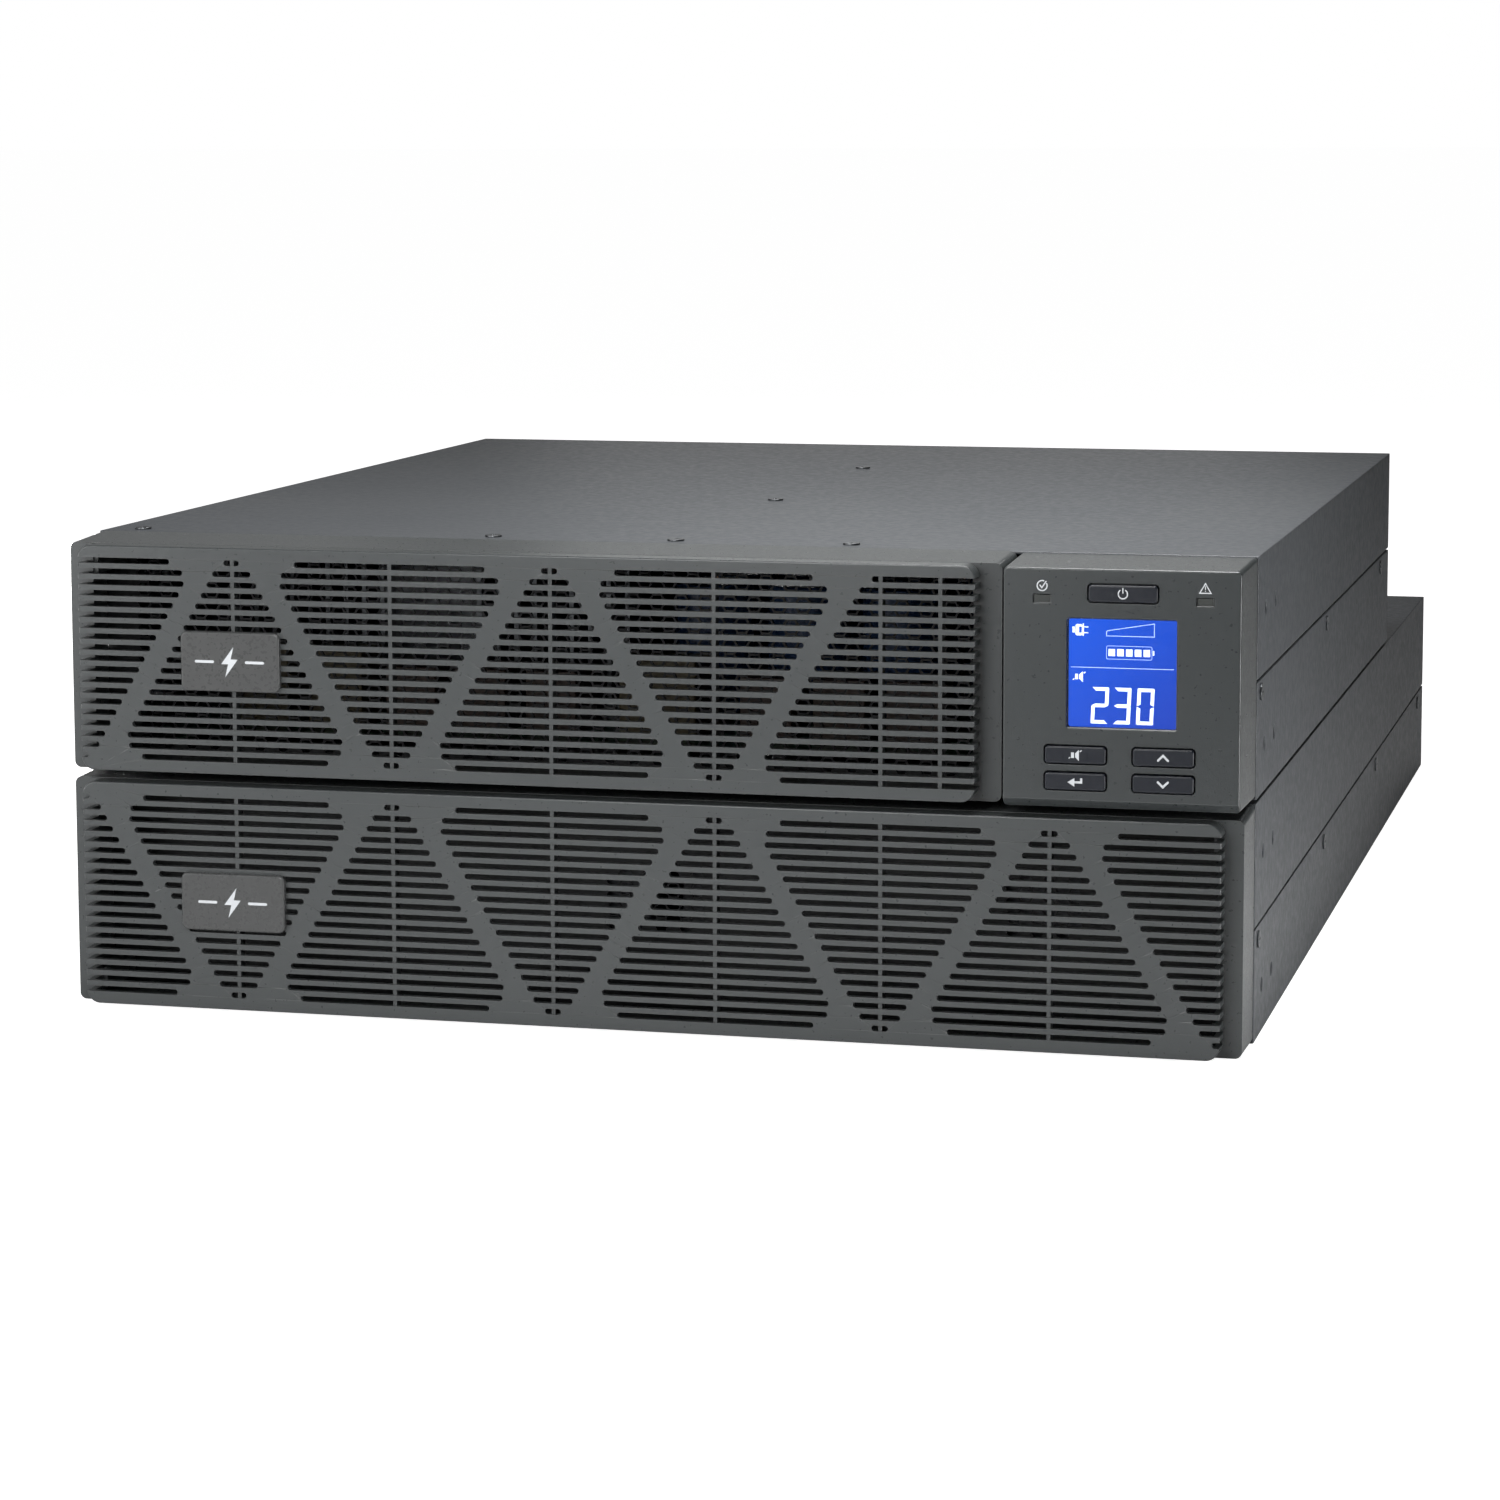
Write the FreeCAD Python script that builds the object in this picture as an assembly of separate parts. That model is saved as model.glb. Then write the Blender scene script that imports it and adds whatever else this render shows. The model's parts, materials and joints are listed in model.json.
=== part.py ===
"""Online UPS power module standing on its external battery pack: two 2U rack units.

Working frame: X across the width, Y from the front to the back, Z up. Y = 0 is the plane where
the bezels meet the steel cases and Z = 0 is the underside of the battery pack. On export
everything moves by ORIGIN_Y, so that the origin lies under the middle of the whole stack.
"""

import FreeCAD, Part
import math
import os

V = FreeCAD.Vector

# ---- driving dimensions, mm ----
WIDTH = 438.0            # body width of a 19 inch rack unit
CASE_H = 86.8            # height of one 2U steel case
STACK_GAP = 1.2          # rubber pads between the two cases
PACK_DEPTH = 665.0       # battery pack case, front to back
UPS_DEPTH = 472.0        # power module case, front to back
SHEET = 1.2              # case sheet steel
SEAM_GAP = 0.8           # visible joint between tray and cover
UPS_SEAM = 42.2          # top of the tray side, power module
PACK_SEAM = 41.0         # top of the tray side, battery pack
LAP = 11.0               # how far the cover's inner lip reaches down behind the tray

GRILLE_Y = -37.8         # front plane of the louvred grille
FLANGE_Y = -28.5         # recessed frame round the grille
RIM_Y = -0.4             # back rim of the plastic fronts
MOULD = 2.2              # plastic wall thickness
GRILLE_T = 2.5           # thickness of the louvred plate
GRILLE_SIDE = 211.9      # half width of the full-width grille
BEZEL_SIDE = 218.6       # half width of the plastic fronts
UPS_GRILLE_END = 124.7   # right end of the power module's grille
UPS_BEZEL_END = 132.7    # right end of the power module's bezel
GRILLE_LOW, GRILLE_HIGH = 1.5, 85.2
FLANGE_LOW, FLANGE_HIGH = 0.8, 85.3
GRILLE_R, FLANGE_R = 5.0, 2.5

ROWS = 19                # louvre slots, bottom to top
ROW_PITCH = 4.03
SLOT_H = 2.15
MID_Z = CASE_H / 2
TRI_PITCH = 60.6         # distance between neighbouring triangle centres
SLOT_GROW = 2.33         # half width gained per row away from a triangle's apex
RUN_OUT = 8.0            # how far end slots run past the grille's side wall
UPS_LAST_RIB = 112.3
RIB_W = 1.4
RIB_SET_BACK = 0.8

# x0, x1, z0, z1 of each badge, z from its unit's underside
UPS_BADGE = (-171.1, -132.8, 32.6, 54.6)
PACK_BADGE = (-172.6, -132.3, 31.5, 52.9)
UPS_PEGS = (-212.0, 126.0)
PACK_PEGS = (-212.0, 212.0)

DISPLAY_X0, DISPLAY_X1 = 134.2, 218.6
DISPLAY_Y = GRILLE_Y
BUTTON_PROUD = 1.0
BUTTON_GAP = 0.45        # shows as the dark line round each key
BUTTON_R = 1.1
# name, x0, x1, z0, z1 on the display front, z from the power module's underside
BUTTONS = [
    ("power_button", 164.9, 189.0, 73.75, 79.65),
    ("mute_button", 149.9, 171.3, 16.9, 22.9),
    ("enter_button", 149.9, 171.3, 7.6, 13.6),
    ("up_button", 180.75, 202.1, 16.9, 22.9),
    ("down_button", 180.75, 202.1, 7.6, 13.6),
]
LIGHTS = [("online_light", 145.6, 151.4, 73.0, 75.7), ("fault_light", 202.6, 208.4, 73.0, 75.7)]
LIGHT_GAP = 0.2          # round each light pipe
LIGHT_SET_BACK = 0.5     # light pipe behind the display's face
SCREEN = (157.3, 196.0, 29.2, 67.9)
SCREEN_R = 1.2

HEX_SIDE = 3.05          # honeycomb cell side, flat edges top and bottom
UPS_HEX_SIDE = 6.1       # the power module's wide vent field, two cells to one
HEX_WEB = 0.7
PANEL_Y = 3.0            # front sheet behind the bezels

EAR_Y = (21.0, 49.0)     # rack ear screws, from the case front
EAR_Z = (17.5, 66.5)
EAR_R = 2.6
SIDE_SCREW_DROP = 4.6    # side screws below the seam
UPS_SIDE_SCREWS = (9.0, 218.0, 435.0)
PACK_SIDE_SCREWS = (9.0, 217.0, 427.0, 635.0)
TOP_SCREWS = [(-205, 9), (-66, 9), (4, 9), (70, 9), (0, 177), (0, 338)]
SCREW_R, HEAD_R, HEAD_H = 1.9, 3.1, 0.7

FAN = 80.0
FAN_T = 25.0
FAN_X = (-164.0, -78.0)
DUCT_R = 38.0

FAN_SCREW = 35.75        # fan screw offset from the fan's centre
GUARD_RINGS = (13.0, 23.0, 33.0)
WIRE_R = 0.9
EYE_T = 2.2              # screw eyes at the ends of a guard's wires
BLADES = 7
HUB_R = 16.0
SHAFT_R, BEARING_R = 1.5, 1.55

BREAKER_W, BREAKER_H = 36.0, 34.0
TOGGLE_TILT = 25.0       # lever angle above the straight-out line at rest
TOGGLE_SET_BACK = 5.0    # pivot behind the rear panel's outer face
UPS_BREAKER = (20.0, 63.0)
PACK_BREAKER = (-120.0, 43.4)
TERMINAL = (96.0, 208.0, 6.0, 58.0)
TERMINAL_BACK = 24.0     # how far the terminal cover stands out of the power module
GLANDS = ((124.0, 32.0), (180.0, 32.0))
GLAND_R = 11.0
SOCKET_W, SOCKET_H, SOCKET_BACK = 40.0, 26.0, 13.0
UPS_SOCKETS = ((64.0, 21.0),)
PACK_SOCKETS = ((-50.0, 43.4), (10.0, 43.4))
PACK_PORTS = ((86.0, 43.4), (104.0, 43.4))
PORT_Z = 73.0            # row of signal ports, from the power module's underside
CARD = (-26.0, 30.0, 8.0, 38.0)

BATTERY = (94.0, 151.0, 65.0)
BATTERY_PITCH = 154.0
BATTERY_Y0 = 8.0
STRAP_GAP = 10.0
BOARD_T = 1.6
BADGE_T = 2.2

HALF = WIDTH / 2
INNER = HALF - SHEET
UPS_Z = CASE_H + STACK_GAP
ORIGIN_Y = -(GRILLE_Y - BADGE_T + PACK_DEPTH + SOCKET_BACK) / 2


# ---- small helpers ----
def box(x0, x1, y0, y1, z0, z1):
    return Part.makeBox(x1 - x0, y1 - y0, z1 - z0, V(x0, y0, z0))


def rod(radius, length, start, axis):
    return Part.makeCylinder(radius, length, V(*start), V(*axis))


def tube(outer, inner, length, start, axis):
    return rod(outer, length, start, axis).cut(rod(inner, length, start, axis))


def fuse(shapes):
    shapes = list(shapes)
    return shapes[0].fuse(shapes[1:]).removeSplitter() if len(shapes) > 1 else shapes[0]


def cut_all(shape, tools):
    return shape.cut(Part.makeCompound(list(tools)))


def ring_xz(x0, x1, z0, z1, r, y):
    """Closed wire of a rectangle with rounded corners, standing in the plane of one Y."""
    k = r * (1 - math.sqrt(0.5))
    corners = [(x1, z0, 1, -1), (x1, z1, 1, 1), (x0, z1, -1, 1), (x0, z0, -1, -1)]
    ends, arcs = [], []
    for i, (cx, cz, sx, sz) in enumerate(corners):
        along_x = V(cx - sx * r, y, cz)
        along_z = V(cx, y, cz - sz * r)
        first, last = (along_x, along_z) if i % 2 == 0 else (along_z, along_x)
        arcs.append(Part.Arc(first, V(cx - sx * k, y, cz - sz * k), last).toShape())
        ends.append((first, last))
    edges = []
    for i in range(4):
        edges += [arcs[i], Part.makeLine(ends[i][1], ends[(i + 1) % 4][0])]
    return Part.Wire(edges)


def block(x0, x1, y0, y1, z0, z1, r):
    """Box with rounded upright-plane corners (edges along Y)."""
    return Part.Face(ring_xz(x0, x1, z0, z1, r, y0)).extrude(V(0, y1 - y0, 0))


def soften(shape, y, size):
    """Rounds the edges that lie in the plane of one Y."""
    edges = [e for e in shape.Edges if abs(e.BoundBox.YMin - y) < 1e-4 and abs(e.BoundBox.YMax - y) < 1e-4]
    return shape.makeFillet(size, edges)


def hexagon(x, z, y, side):
    points = [V(x + side * math.cos(a), y, z + side * math.sin(a))
              for a in (math.radians(60 * k) for k in range(7))]
    return Part.makePolygon(points)


def hex_wires(x0, x1, z0, z1, y, side):
    """Honeycomb cells that fit inside a rectangle, as wires for a perforated sheet."""
    flat = side * math.sqrt(3)
    cell = side - HEX_WEB / math.sqrt(3)
    wires = []
    for i in range(int((x1 - x0 - 2 * side) / (1.5 * side)) + 1):
        x = x0 + side + 1.5 * side * i
        z = z0 + flat / 2 + (flat / 2 if i % 2 else 0)
        while z + flat / 2 <= z1:
            wires.append(hexagon(x, z, y, cell))
            z += flat
    return wires


def sheet_with_holes(x0, x1, z0, z1, y, thick, wires):
    outer = Part.makePolygon([V(x0, y, z0), V(x1, y, z0), V(x1, y, z1), V(x0, y, z1), V(x0, y, z0)])
    face = Part.makeFace([outer] + wires, "Part::FaceMakerBullseye")
    return face.extrude(V(0, thick, 0))


def row_z(row, base):
    return base + MID_Z + ROW_PITCH * (row - (ROWS - 1) / 2)


# ---- steel cases ----
def side_holes(sign, base, heights):
    x = sign * HALF - 5
    return [rod(EAR_R, 10, (x, y, base + z), (1, 0, 0)) for y in EAR_Y for z in heights]


def side_screw_holes(sign, base, seam, ys):
    z = base + seam - SIDE_SCREW_DROP
    return [rod(SCREW_R + 0.2, 10, (sign * HALF - 5, y, z), (1, 0, 0)) for y in ys]


def rear_screw_points(base):
    return [(s * (INNER - 5), base + z) for s in (-1, 1) for z in (8.0, 34.0)]


def y_holes(points, y, radius):
    return [rod(radius, 10, (x, y - 5, z), (0, 1, 0)) for x, z in points]


def wall(a, b, y0, y1, z0, z1):
    """Box between two X values given in either order."""
    return box(min(a, b), max(a, b), y0, y1, z0, z1)


def make_tray(base, depth, seam, screws):
    """Floor and lower side walls, with a rear lip each side for the rear panel's screws."""
    parts = [box(-HALF, HALF, 0, depth, base, base + SHEET)]
    holes = y_holes(rear_screw_points(base), depth, SCREW_R + 0.2)
    for s in (-1, 1):
        parts.append(wall(s * HALF, s * INNER, 0, depth, base, base + seam))
        parts.append(wall(s * INNER, s * (INNER - 10), depth - 2 * SHEET, depth - SHEET,
                          base + SHEET, base + seam))
        holes += side_holes(s, base, EAR_Z[:1]) + side_screw_holes(s, base, seam, screws)
    return cut_all(fuse(parts), holes)


def make_cover(base, depth, seam, screws, top_screws):
    """Top and upper side walls, with an inner lip each side that laps behind the tray."""
    top = base + CASE_H
    low = base + seam + SEAM_GAP
    parts = [box(-HALF, HALF, 0, depth, top - SHEET, top)]
    holes = [rod(SCREW_R + 0.2, 10, (x, y, top - 5), (0, 0, 1)) for x, y in top_screws]
    for s in (-1, 1):
        parts.append(wall(s * HALF, s * INNER, 0, depth, low, top))
        parts.append(wall(s * INNER, s * (INNER - SHEET), PANEL_Y + SHEET + 0.3,
                          depth - 2 * SHEET - 0.3, base + seam - LAP, low + 4))
        holes += side_holes(s, base, EAR_Z[1:]) + side_screw_holes(s, base, seam, screws)
    return cut_all(fuse(parts), holes)


def top_screws():
    top = UPS_Z + CASE_H
    return Part.makeCompound([screw((x, y, top), (0, 0, 1), 6) for x, y in TOP_SCREWS])


def screw(point, axis, length):
    """Pan head screw with a cross recess; point is where the head sits on the sheet."""
    p, a = V(*point), V(*axis)
    head = Part.makeCylinder(HEAD_R, HEAD_H, p, a)
    shank = Part.makeCylinder(SCREW_R, length, p - a * length, a)
    turn = FreeCAD.Rotation(V(0, 0, 1), a)
    cross = Part.makeCompound([box(-1.9, 1.9, -0.35, 0.35, 0, 2), box(-0.35, 0.35, -1.9, 1.9, 0, 2)])
    cross.Placement = FreeCAD.Placement(p + a * (HEAD_H - 0.45), turn)
    return fuse([head, shank]).cut(cross)


def side_screws(base, seam, ys):
    z = base + seam - SIDE_SCREW_DROP
    return Part.makeCompound([screw((s * HALF, y, z), (s, 0, 0), 6) for s in (-1, 1) for y in ys])


def rear_screws(base, depth, extra=()):
    points = [(x, depth, z) for x, z in rear_screw_points(base)] + list(extra)
    return Part.makeCompound([screw(p, (0, 1, 0), 6) for p in points])


def stacking_pads():
    spots = [(sx * 190, y) for sx in (-1, 1) for y in (40, UPS_DEPTH - 40)]
    return Part.makeCompound([rod(11, STACK_GAP, (x, y, CASE_H), (0, 0, 1)) for x, y in spots])


# ---- louvred bezels ----
def slot(cx, cz, half):
    """Cutter for one round-ended slot, from in front of the grille back to the frame's plane."""
    r = SLOT_H / 2
    return block(cx - half, cx + half, GRILLE_Y - 1, FLANGE_Y, cz - r, cz + r, r * 0.999)


def slot_half(step):
    """Half width of a triangle's slot, counted in rows from its apex."""
    ends = {0: 3.0, 1: 7.45, ROWS - 3: 42.0, ROWS - 2: 41.5, ROWS - 1: 36.4}
    return ends.get(step, 5.1 + SLOT_GROW * step)


def triangle(cx, base, apex_up):
    return [slot(cx, row_z(row, base), slot_half(ROWS - 1 - row if apex_up else row))
            for row in range(ROWS)]


def run_out(cx, base, apex_up, end):
    """Slots that start on a triangle's slanted edge and run out through the grille's side wall."""
    cutters = []
    for row in range(ROWS):
        half = slot_half(ROWS - 1 - row if apex_up else row)
        inner = cx - half if end > cx else cx + half
        cutters.append(slot((inner + end) / 2, row_z(row, base), abs(end - inner) / 2))
    return cutters


def bezel_shell(base, right_grille, right_end):
    """Hollow moulding: sloping skirt, recessed frame and raised grille, before the slots."""
    left = -BEZEL_SIDE
    skirt = Part.makeLoft([
        ring_xz(left, right_end, base + FLANGE_LOW, base + FLANGE_HIGH, FLANGE_R, FLANGE_Y),
        ring_xz(left, right_end, base, base + CASE_H, FLANGE_R, RIM_Y)], True, True)
    raised = block(-GRILLE_SIDE, right_grille, GRILLE_Y, FLANGE_Y + 1,
                   base + GRILLE_LOW, base + GRILLE_HIGH, GRILLE_R)
    raised = soften(raised, GRILLE_Y, 0.6)
    w = MOULD
    hollow = Part.makeLoft([
        ring_xz(left + w, right_end - w, base + FLANGE_LOW + w, base + FLANGE_HIGH - w, 1.0, FLANGE_Y + w),
        ring_xz(left + w, right_end - w, base + w, base + CASE_H - w, 1.0, RIM_Y + 1)], True, True)
    inside = block(-GRILLE_SIDE + w, right_grille - w, GRILLE_Y + GRILLE_T, FLANGE_Y + w + 1,
                   base + GRILLE_LOW + w, base + GRILLE_HIGH - w, GRILLE_R - w)
    return fuse([skirt, raised]).cut(Part.makeCompound([hollow])).cut(inside)


def bezel_pegs(base, xs):
    """Round pegs on square bosses that push into the front sheet and hold the bezel."""
    parts = []
    for x in xs:
        for z in (base + 9.0, base + CASE_H - 9.0):
            parts.append(box(x - 4, x + 4, FLANGE_Y + 1, RIM_Y, z - 4, z + 4))
            parts.append(rod(2.5, 9.0, (x, RIM_Y - 1, z), (0, 1, 0)))
    return parts


def peg_holes(base, xs):
    points = [(x, z) for x in xs for z in (base + 9.0, base + CASE_H - 9.0)]
    return y_holes(points, PANEL_Y, 2.9)


def ribs(base, xs):
    return [box(x - RIB_W / 2, x + RIB_W / 2, GRILLE_Y + RIB_SET_BACK, GRILLE_Y + 5.5,
                base + GRILLE_LOW + 1.5, base + GRILLE_HIGH - 1.5) for x in xs]


def make_bezel(base, right_grille, right_end, cutters, rib_xs, peg_xs, badge):
    shell = cut_all(bezel_shell(base, right_grille, right_end), cutters)
    x0, x1, z0, z1 = badge
    boss = box(x0 + 1, x1 - 1, GRILLE_Y + 0.5, GRILLE_Y + GRILLE_T, base + z0 + 1, base + z1 - 1)
    return fuse([shell, boss] + ribs(base, rib_xs) + bezel_pegs(base, peg_xs))


def ups_bezel():
    t = TRI_PITCH
    cutters = run_out(-3.5 * t, UPS_Z, False, -3.5 * t - RUN_OUT)
    cutters += run_out(1.5 * t, UPS_Z, True, UPS_GRILLE_END + RUN_OUT)
    for k in (-2.5, -0.5):
        cutters += triangle(k * t, UPS_Z, True)
    for k in (-1.5, 0.5):
        cutters += triangle(k * t, UPS_Z, False)
    rib_xs = [k * t for k in (-2.5, -1.5, -0.5, 0.5, 1.5)] + [UPS_LAST_RIB]
    return make_bezel(UPS_Z, UPS_GRILLE_END, UPS_BEZEL_END, cutters, rib_xs, UPS_PEGS, UPS_BADGE)


def pack_bezel():
    t = TRI_PITCH
    cutters = run_out(-3.5 * t, 0, True, -3.5 * t - RUN_OUT)
    cutters += run_out(3.5 * t, 0, False, 3.5 * t + RUN_OUT)
    for k in (-2.5, -0.5, 1.5):
        cutters += triangle(k * t, 0, False)
    for k in (-1.5, 0.5, 2.5):
        cutters += triangle(k * t, 0, True)
    rib_xs = [k * t for k in (-2.5, -1.5, -0.5, 0.5, 1.5, 2.5)]
    return make_bezel(0, GRILLE_SIDE, BEZEL_SIDE, cutters, rib_xs, PACK_PEGS, PACK_BADGE)


def badge(base, size):
    x0, x1, z0, z1 = size
    plate = block(x0, x1, GRILLE_Y - BADGE_T, GRILLE_Y, base + z0, base + z1, 2.5)
    return soften(plate, GRILLE_Y - BADGE_T, 0.8)


# ---- front sheets behind the plastic fronts ----
DISPLAY_PEGS = ((143.0, UPS_Z + MID_Z), (210.0, UPS_Z + MID_Z))
PLUG = (160.0, 190.0, UPS_Z + 36.0, UPS_Z + 48.0)


def ups_front_panel():
    cells = hex_wires(-206, 121, UPS_Z + 4, UPS_Z + 83, PANEL_Y, UPS_HEX_SIDE)
    sheet = sheet_with_holes(-INNER, INNER, UPS_Z + SHEET, UPS_Z + CASE_H - SHEET, PANEL_Y, SHEET, cells)
    x0, x1, z0, z1 = PLUG
    plug_hole = box(x0 - 1, x1 + 1, PANEL_Y - 1, PANEL_Y + SHEET + 1, z0 - 1, z1 + 1)
    return cut_all(sheet, peg_holes(UPS_Z, UPS_PEGS) + y_holes(DISPLAY_PEGS, PANEL_Y, 2.9) + [plug_hole])


def pack_front_panel():
    cells = hex_wires(-22, 18.5, 30, 54, PANEL_Y, HEX_SIDE) + hex_wires(128, 160, 34, 58, PANEL_Y, HEX_SIDE)
    sheet = sheet_with_holes(-INNER, INNER, SHEET, CASE_H - SHEET, PANEL_Y, SHEET, cells)
    return cut_all(sheet, peg_holes(0, PACK_PEGS))


# ---- display module ----
def display_cavity():
    return box(DISPLAY_X0 + MOULD, DISPLAY_X1 - MOULD, DISPLAY_Y + MOULD, RIM_Y + 1,
               UPS_Z + 4.6, UPS_Z + 83.8)


def display_housing():
    z = UPS_Z
    shell = Part.makeLoft([
        ring_xz(DISPLAY_X0 + 0.6, DISPLAY_X1 - 0.6, z + 1.0, z + 85.2, 1.5, DISPLAY_Y),
        ring_xz(DISPLAY_X0, DISPLAY_X1, z + 0.6, z + 86.4, 1.5, RIM_Y)], True, True)
    chin = Part.makePolygon([V(DISPLAY_X0 - 1, DISPLAY_Y - 1, z - 1), V(DISPLAY_X0 - 1, DISPLAY_Y + 3.8, z - 1),
                             V(DISPLAY_X0 - 1, DISPLAY_Y + 2.8, z + 1.0), V(DISPLAY_X0 - 1, DISPLAY_Y, z + 4.0),
                             V(DISPLAY_X0 - 1, DISPLAY_Y - 1, z + 4.0), V(DISPLAY_X0 - 1, DISPLAY_Y - 1, z - 1)])
    shell = shell.cut(Part.Face(chin).extrude(V(DISPLAY_X1 - DISPLAY_X0 + 2, 0, 0)))
    shell = soften(shell, DISPLAY_Y, 0.8)
    cutters = [display_cavity()]
    y0, y1 = DISPLAY_Y - 1, DISPLAY_Y + MOULD + 1
    for _, x0, x1, z0, z1 in BUTTONS:
        g = BUTTON_GAP
        cutters.append(block(x0 - g, x1 + g, y0, y1, z + z0 - g, z + z1 + g, BUTTON_R + g))
    for _, x0, x1, z0, z1 in LIGHTS:
        g = LIGHT_GAP
        cutters.append(box(x0 - g, x1 + g, y0, y1, z + z0 - g, z + z1 + g))
    x0, x1, z0, z1 = SCREEN
    cutters.append(block(x0, x1, y0, y1, z + z0, z + z1, SCREEN_R))
    return cut_all(shell, cutters)


def display_back():
    cavity = display_cavity()
    plate = cavity.common(box(DISPLAY_X0, DISPLAY_X1, RIM_Y - MOULD, RIM_Y, UPS_Z, UPS_Z + CASE_H))
    x0, x1, z0, z1 = PLUG
    pegs = [rod(2.5, 9.0, (x, RIM_Y - 1, pz), (0, 1, 0)) for x, pz in DISPLAY_PEGS]
    return fuse([plate, box(x0, x1, RIM_Y - 1, PANEL_Y + 6, z0, z1)] + pegs)


def display_window():
    x0, x1, z0, z1 = SCREEN
    return block(x0, x1, DISPLAY_Y + 0.4, DISPLAY_Y + MOULD, UPS_Z + z0, UPS_Z + z1, SCREEN_R)


BOARD_Y = DISPLAY_Y + 10.0


def lcd_panel():
    x0, x1, z0, z1 = SCREEN
    return box(x0 - 2, x1 + 2, DISPLAY_Y + MOULD, BOARD_Y, UPS_Z + z0 - 2, UPS_Z + z1 + 2)


def display_board():
    board = box(DISPLAY_X0 + MOULD, DISPLAY_X1 - MOULD, BOARD_Y, BOARD_Y + BOARD_T, UPS_Z + 6, UPS_Z + 82)
    switches = [rod(2.5, 2.4, ((x0 + x1) / 2, BOARD_Y - 2.2, UPS_Z + (z0 + z1) / 2), (0, 1, 0))
                for _, x0, x1, z0, z1 in BUTTONS]
    return fuse([board] + switches)


def button(x0, x1, z0, z1):
    """Cap with a retaining flange behind the front wall and a stem towards its switch."""
    z0, z1 = UPS_Z + z0, UPS_Z + z1
    front = DISPLAY_Y - BUTTON_PROUD
    cap = soften(block(x0, x1, front, DISPLAY_Y + MOULD + 0.4, z0, z1, BUTTON_R), front, 0.6)
    back = DISPLAY_Y + MOULD + 0.1
    flange = box(x0 - 1, x1 + 1, back, back + 1.0, z0 - 1, z1 + 1)
    stem = rod(1.5, 3.0, ((x0 + x1) / 2, back + 0.9, (z0 + z1) / 2), (0, 1, 0))
    return fuse([cap, flange, stem])


def light_pipe(x0, x1, z0, z1):
    return box(x0, x1, DISPLAY_Y + LIGHT_SET_BACK, BOARD_Y, UPS_Z + z0, UPS_Z + z1)


# ---- cooling fans ----
FAN_BACK = UPS_DEPTH - SHEET


def fan_frame(cx):
    cz = UPS_Z + MID_Z
    h = FAN / 2
    frame = block(cx - h, cx + h, FAN_BACK - FAN_T, FAN_BACK, cz - h, cz + h, 4)
    duct = rod(DUCT_R, FAN_T + 2, (cx, FAN_BACK - FAN_T - 1, cz), (0, 1, 0))
    screws = [rod(2.2, FAN_T + 2, (cx + sx * FAN_SCREW, FAN_BACK - FAN_T - 1, cz + sz * FAN_SCREW), (0, 1, 0))
              for sx in (-1, 1) for sz in (-1, 1)]
    hub = rod(HUB_R + 1, 3, (cx, FAN_BACK - 3.5, cz), (0, 1, 0))
    arms = []
    for k in range(4):
        arm = box(0, DUCT_R + 1, -1.5, 1.5, -1.5, 1.5)
        arm.Placement = FreeCAD.Placement(V(cx, FAN_BACK - 2, cz), FreeCAD.Rotation(V(0, 1, 0), 45 + 90 * k))
        arms.append(arm)
    bore = rod(BEARING_R, 10, (cx, FAN_BACK - 8, cz), (0, 1, 0))
    return fuse([cut_all(frame, [duct] + screws), hub] + arms).cut(bore)


def fan_rotor(cx):
    cz = UPS_Z + MID_Z
    hub = rod(HUB_R, 17, (cx, FAN_BACK - 22, cz), (0, 1, 0))
    shaft = rod(SHAFT_R, 4, (cx, FAN_BACK - 5.5, cz), (0, 1, 0))
    blades = []
    for k in range(BLADES):
        blade = box(HUB_R - 2, DUCT_R - 1.5, -8, 8, -0.7, 0.7)
        tilt = FreeCAD.Rotation(V(1, 0, 0), 40)
        spin = FreeCAD.Rotation(V(0, 1, 0), 360.0 * k / BLADES)
        blade.Placement = FreeCAD.Placement(V(cx, FAN_BACK - 13.5, cz), spin.multiply(tilt))
        blades.append(blade)
    return fuse([hub, shaft] + blades)


def fan_screw_points(cx):
    cz = UPS_Z + MID_Z
    return [(cx + sx * FAN_SCREW, cz + sz * FAN_SCREW) for sx in (-1, 1) for sz in (-1, 1)]


def fan_guard(cx):
    """Three wire rings on four radial wires that end in screw eyes."""
    cz = UPS_Z + MID_Z
    y = UPS_DEPTH + EYE_T / 2
    rings = [Part.makeTorus(r, WIRE_R, V(cx, y + 1.5, cz), V(0, 1, 0)) for r in GUARD_RINGS]
    reach = FAN_SCREW * math.sqrt(2) - 3.0
    wires = [rod(WIRE_R, reach - GUARD_RINGS[0] + 1, (cx + sx * (GUARD_RINGS[0] - 1) * math.sqrt(0.5), y,
                                                      cz + sz * (GUARD_RINGS[0] - 1) * math.sqrt(0.5)),
                 (sx, 0, sz)) for sx in (-1, 1) for sz in (-1, 1)]
    eyes = [tube(4.2, 2.2, EYE_T, (px, UPS_DEPTH, pz), (0, 1, 0)) for px, pz in fan_screw_points(cx)]
    return fuse(rings + wires + eyes)


# ---- breakers, sockets and ports on the rear panels ----
def breaker(cx, cz, depth, length):
    """Breaker body behind the panel, its nose in the panel's opening and a slot for the lever."""
    w, h = BREAKER_W / 2, BREAKER_H / 2
    body = box(cx - w, cx + w, depth - length, depth - SHEET, cz - h, cz + h)
    nose = box(cx - w + 4, cx + w - 4, depth - SHEET, depth + 2, cz - h + 6, cz + h - 6)
    slot_cut = box(cx - 8, cx + 8, depth - 12.5, depth + 3, cz - 9, cz + 9)
    pivot = rod(BEARING_R, 22, (cx - 11, depth - TOGGLE_SET_BACK, cz), (1, 0, 0))
    return fuse([body, nose]).cut(slot_cut).cut(pivot)


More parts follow.
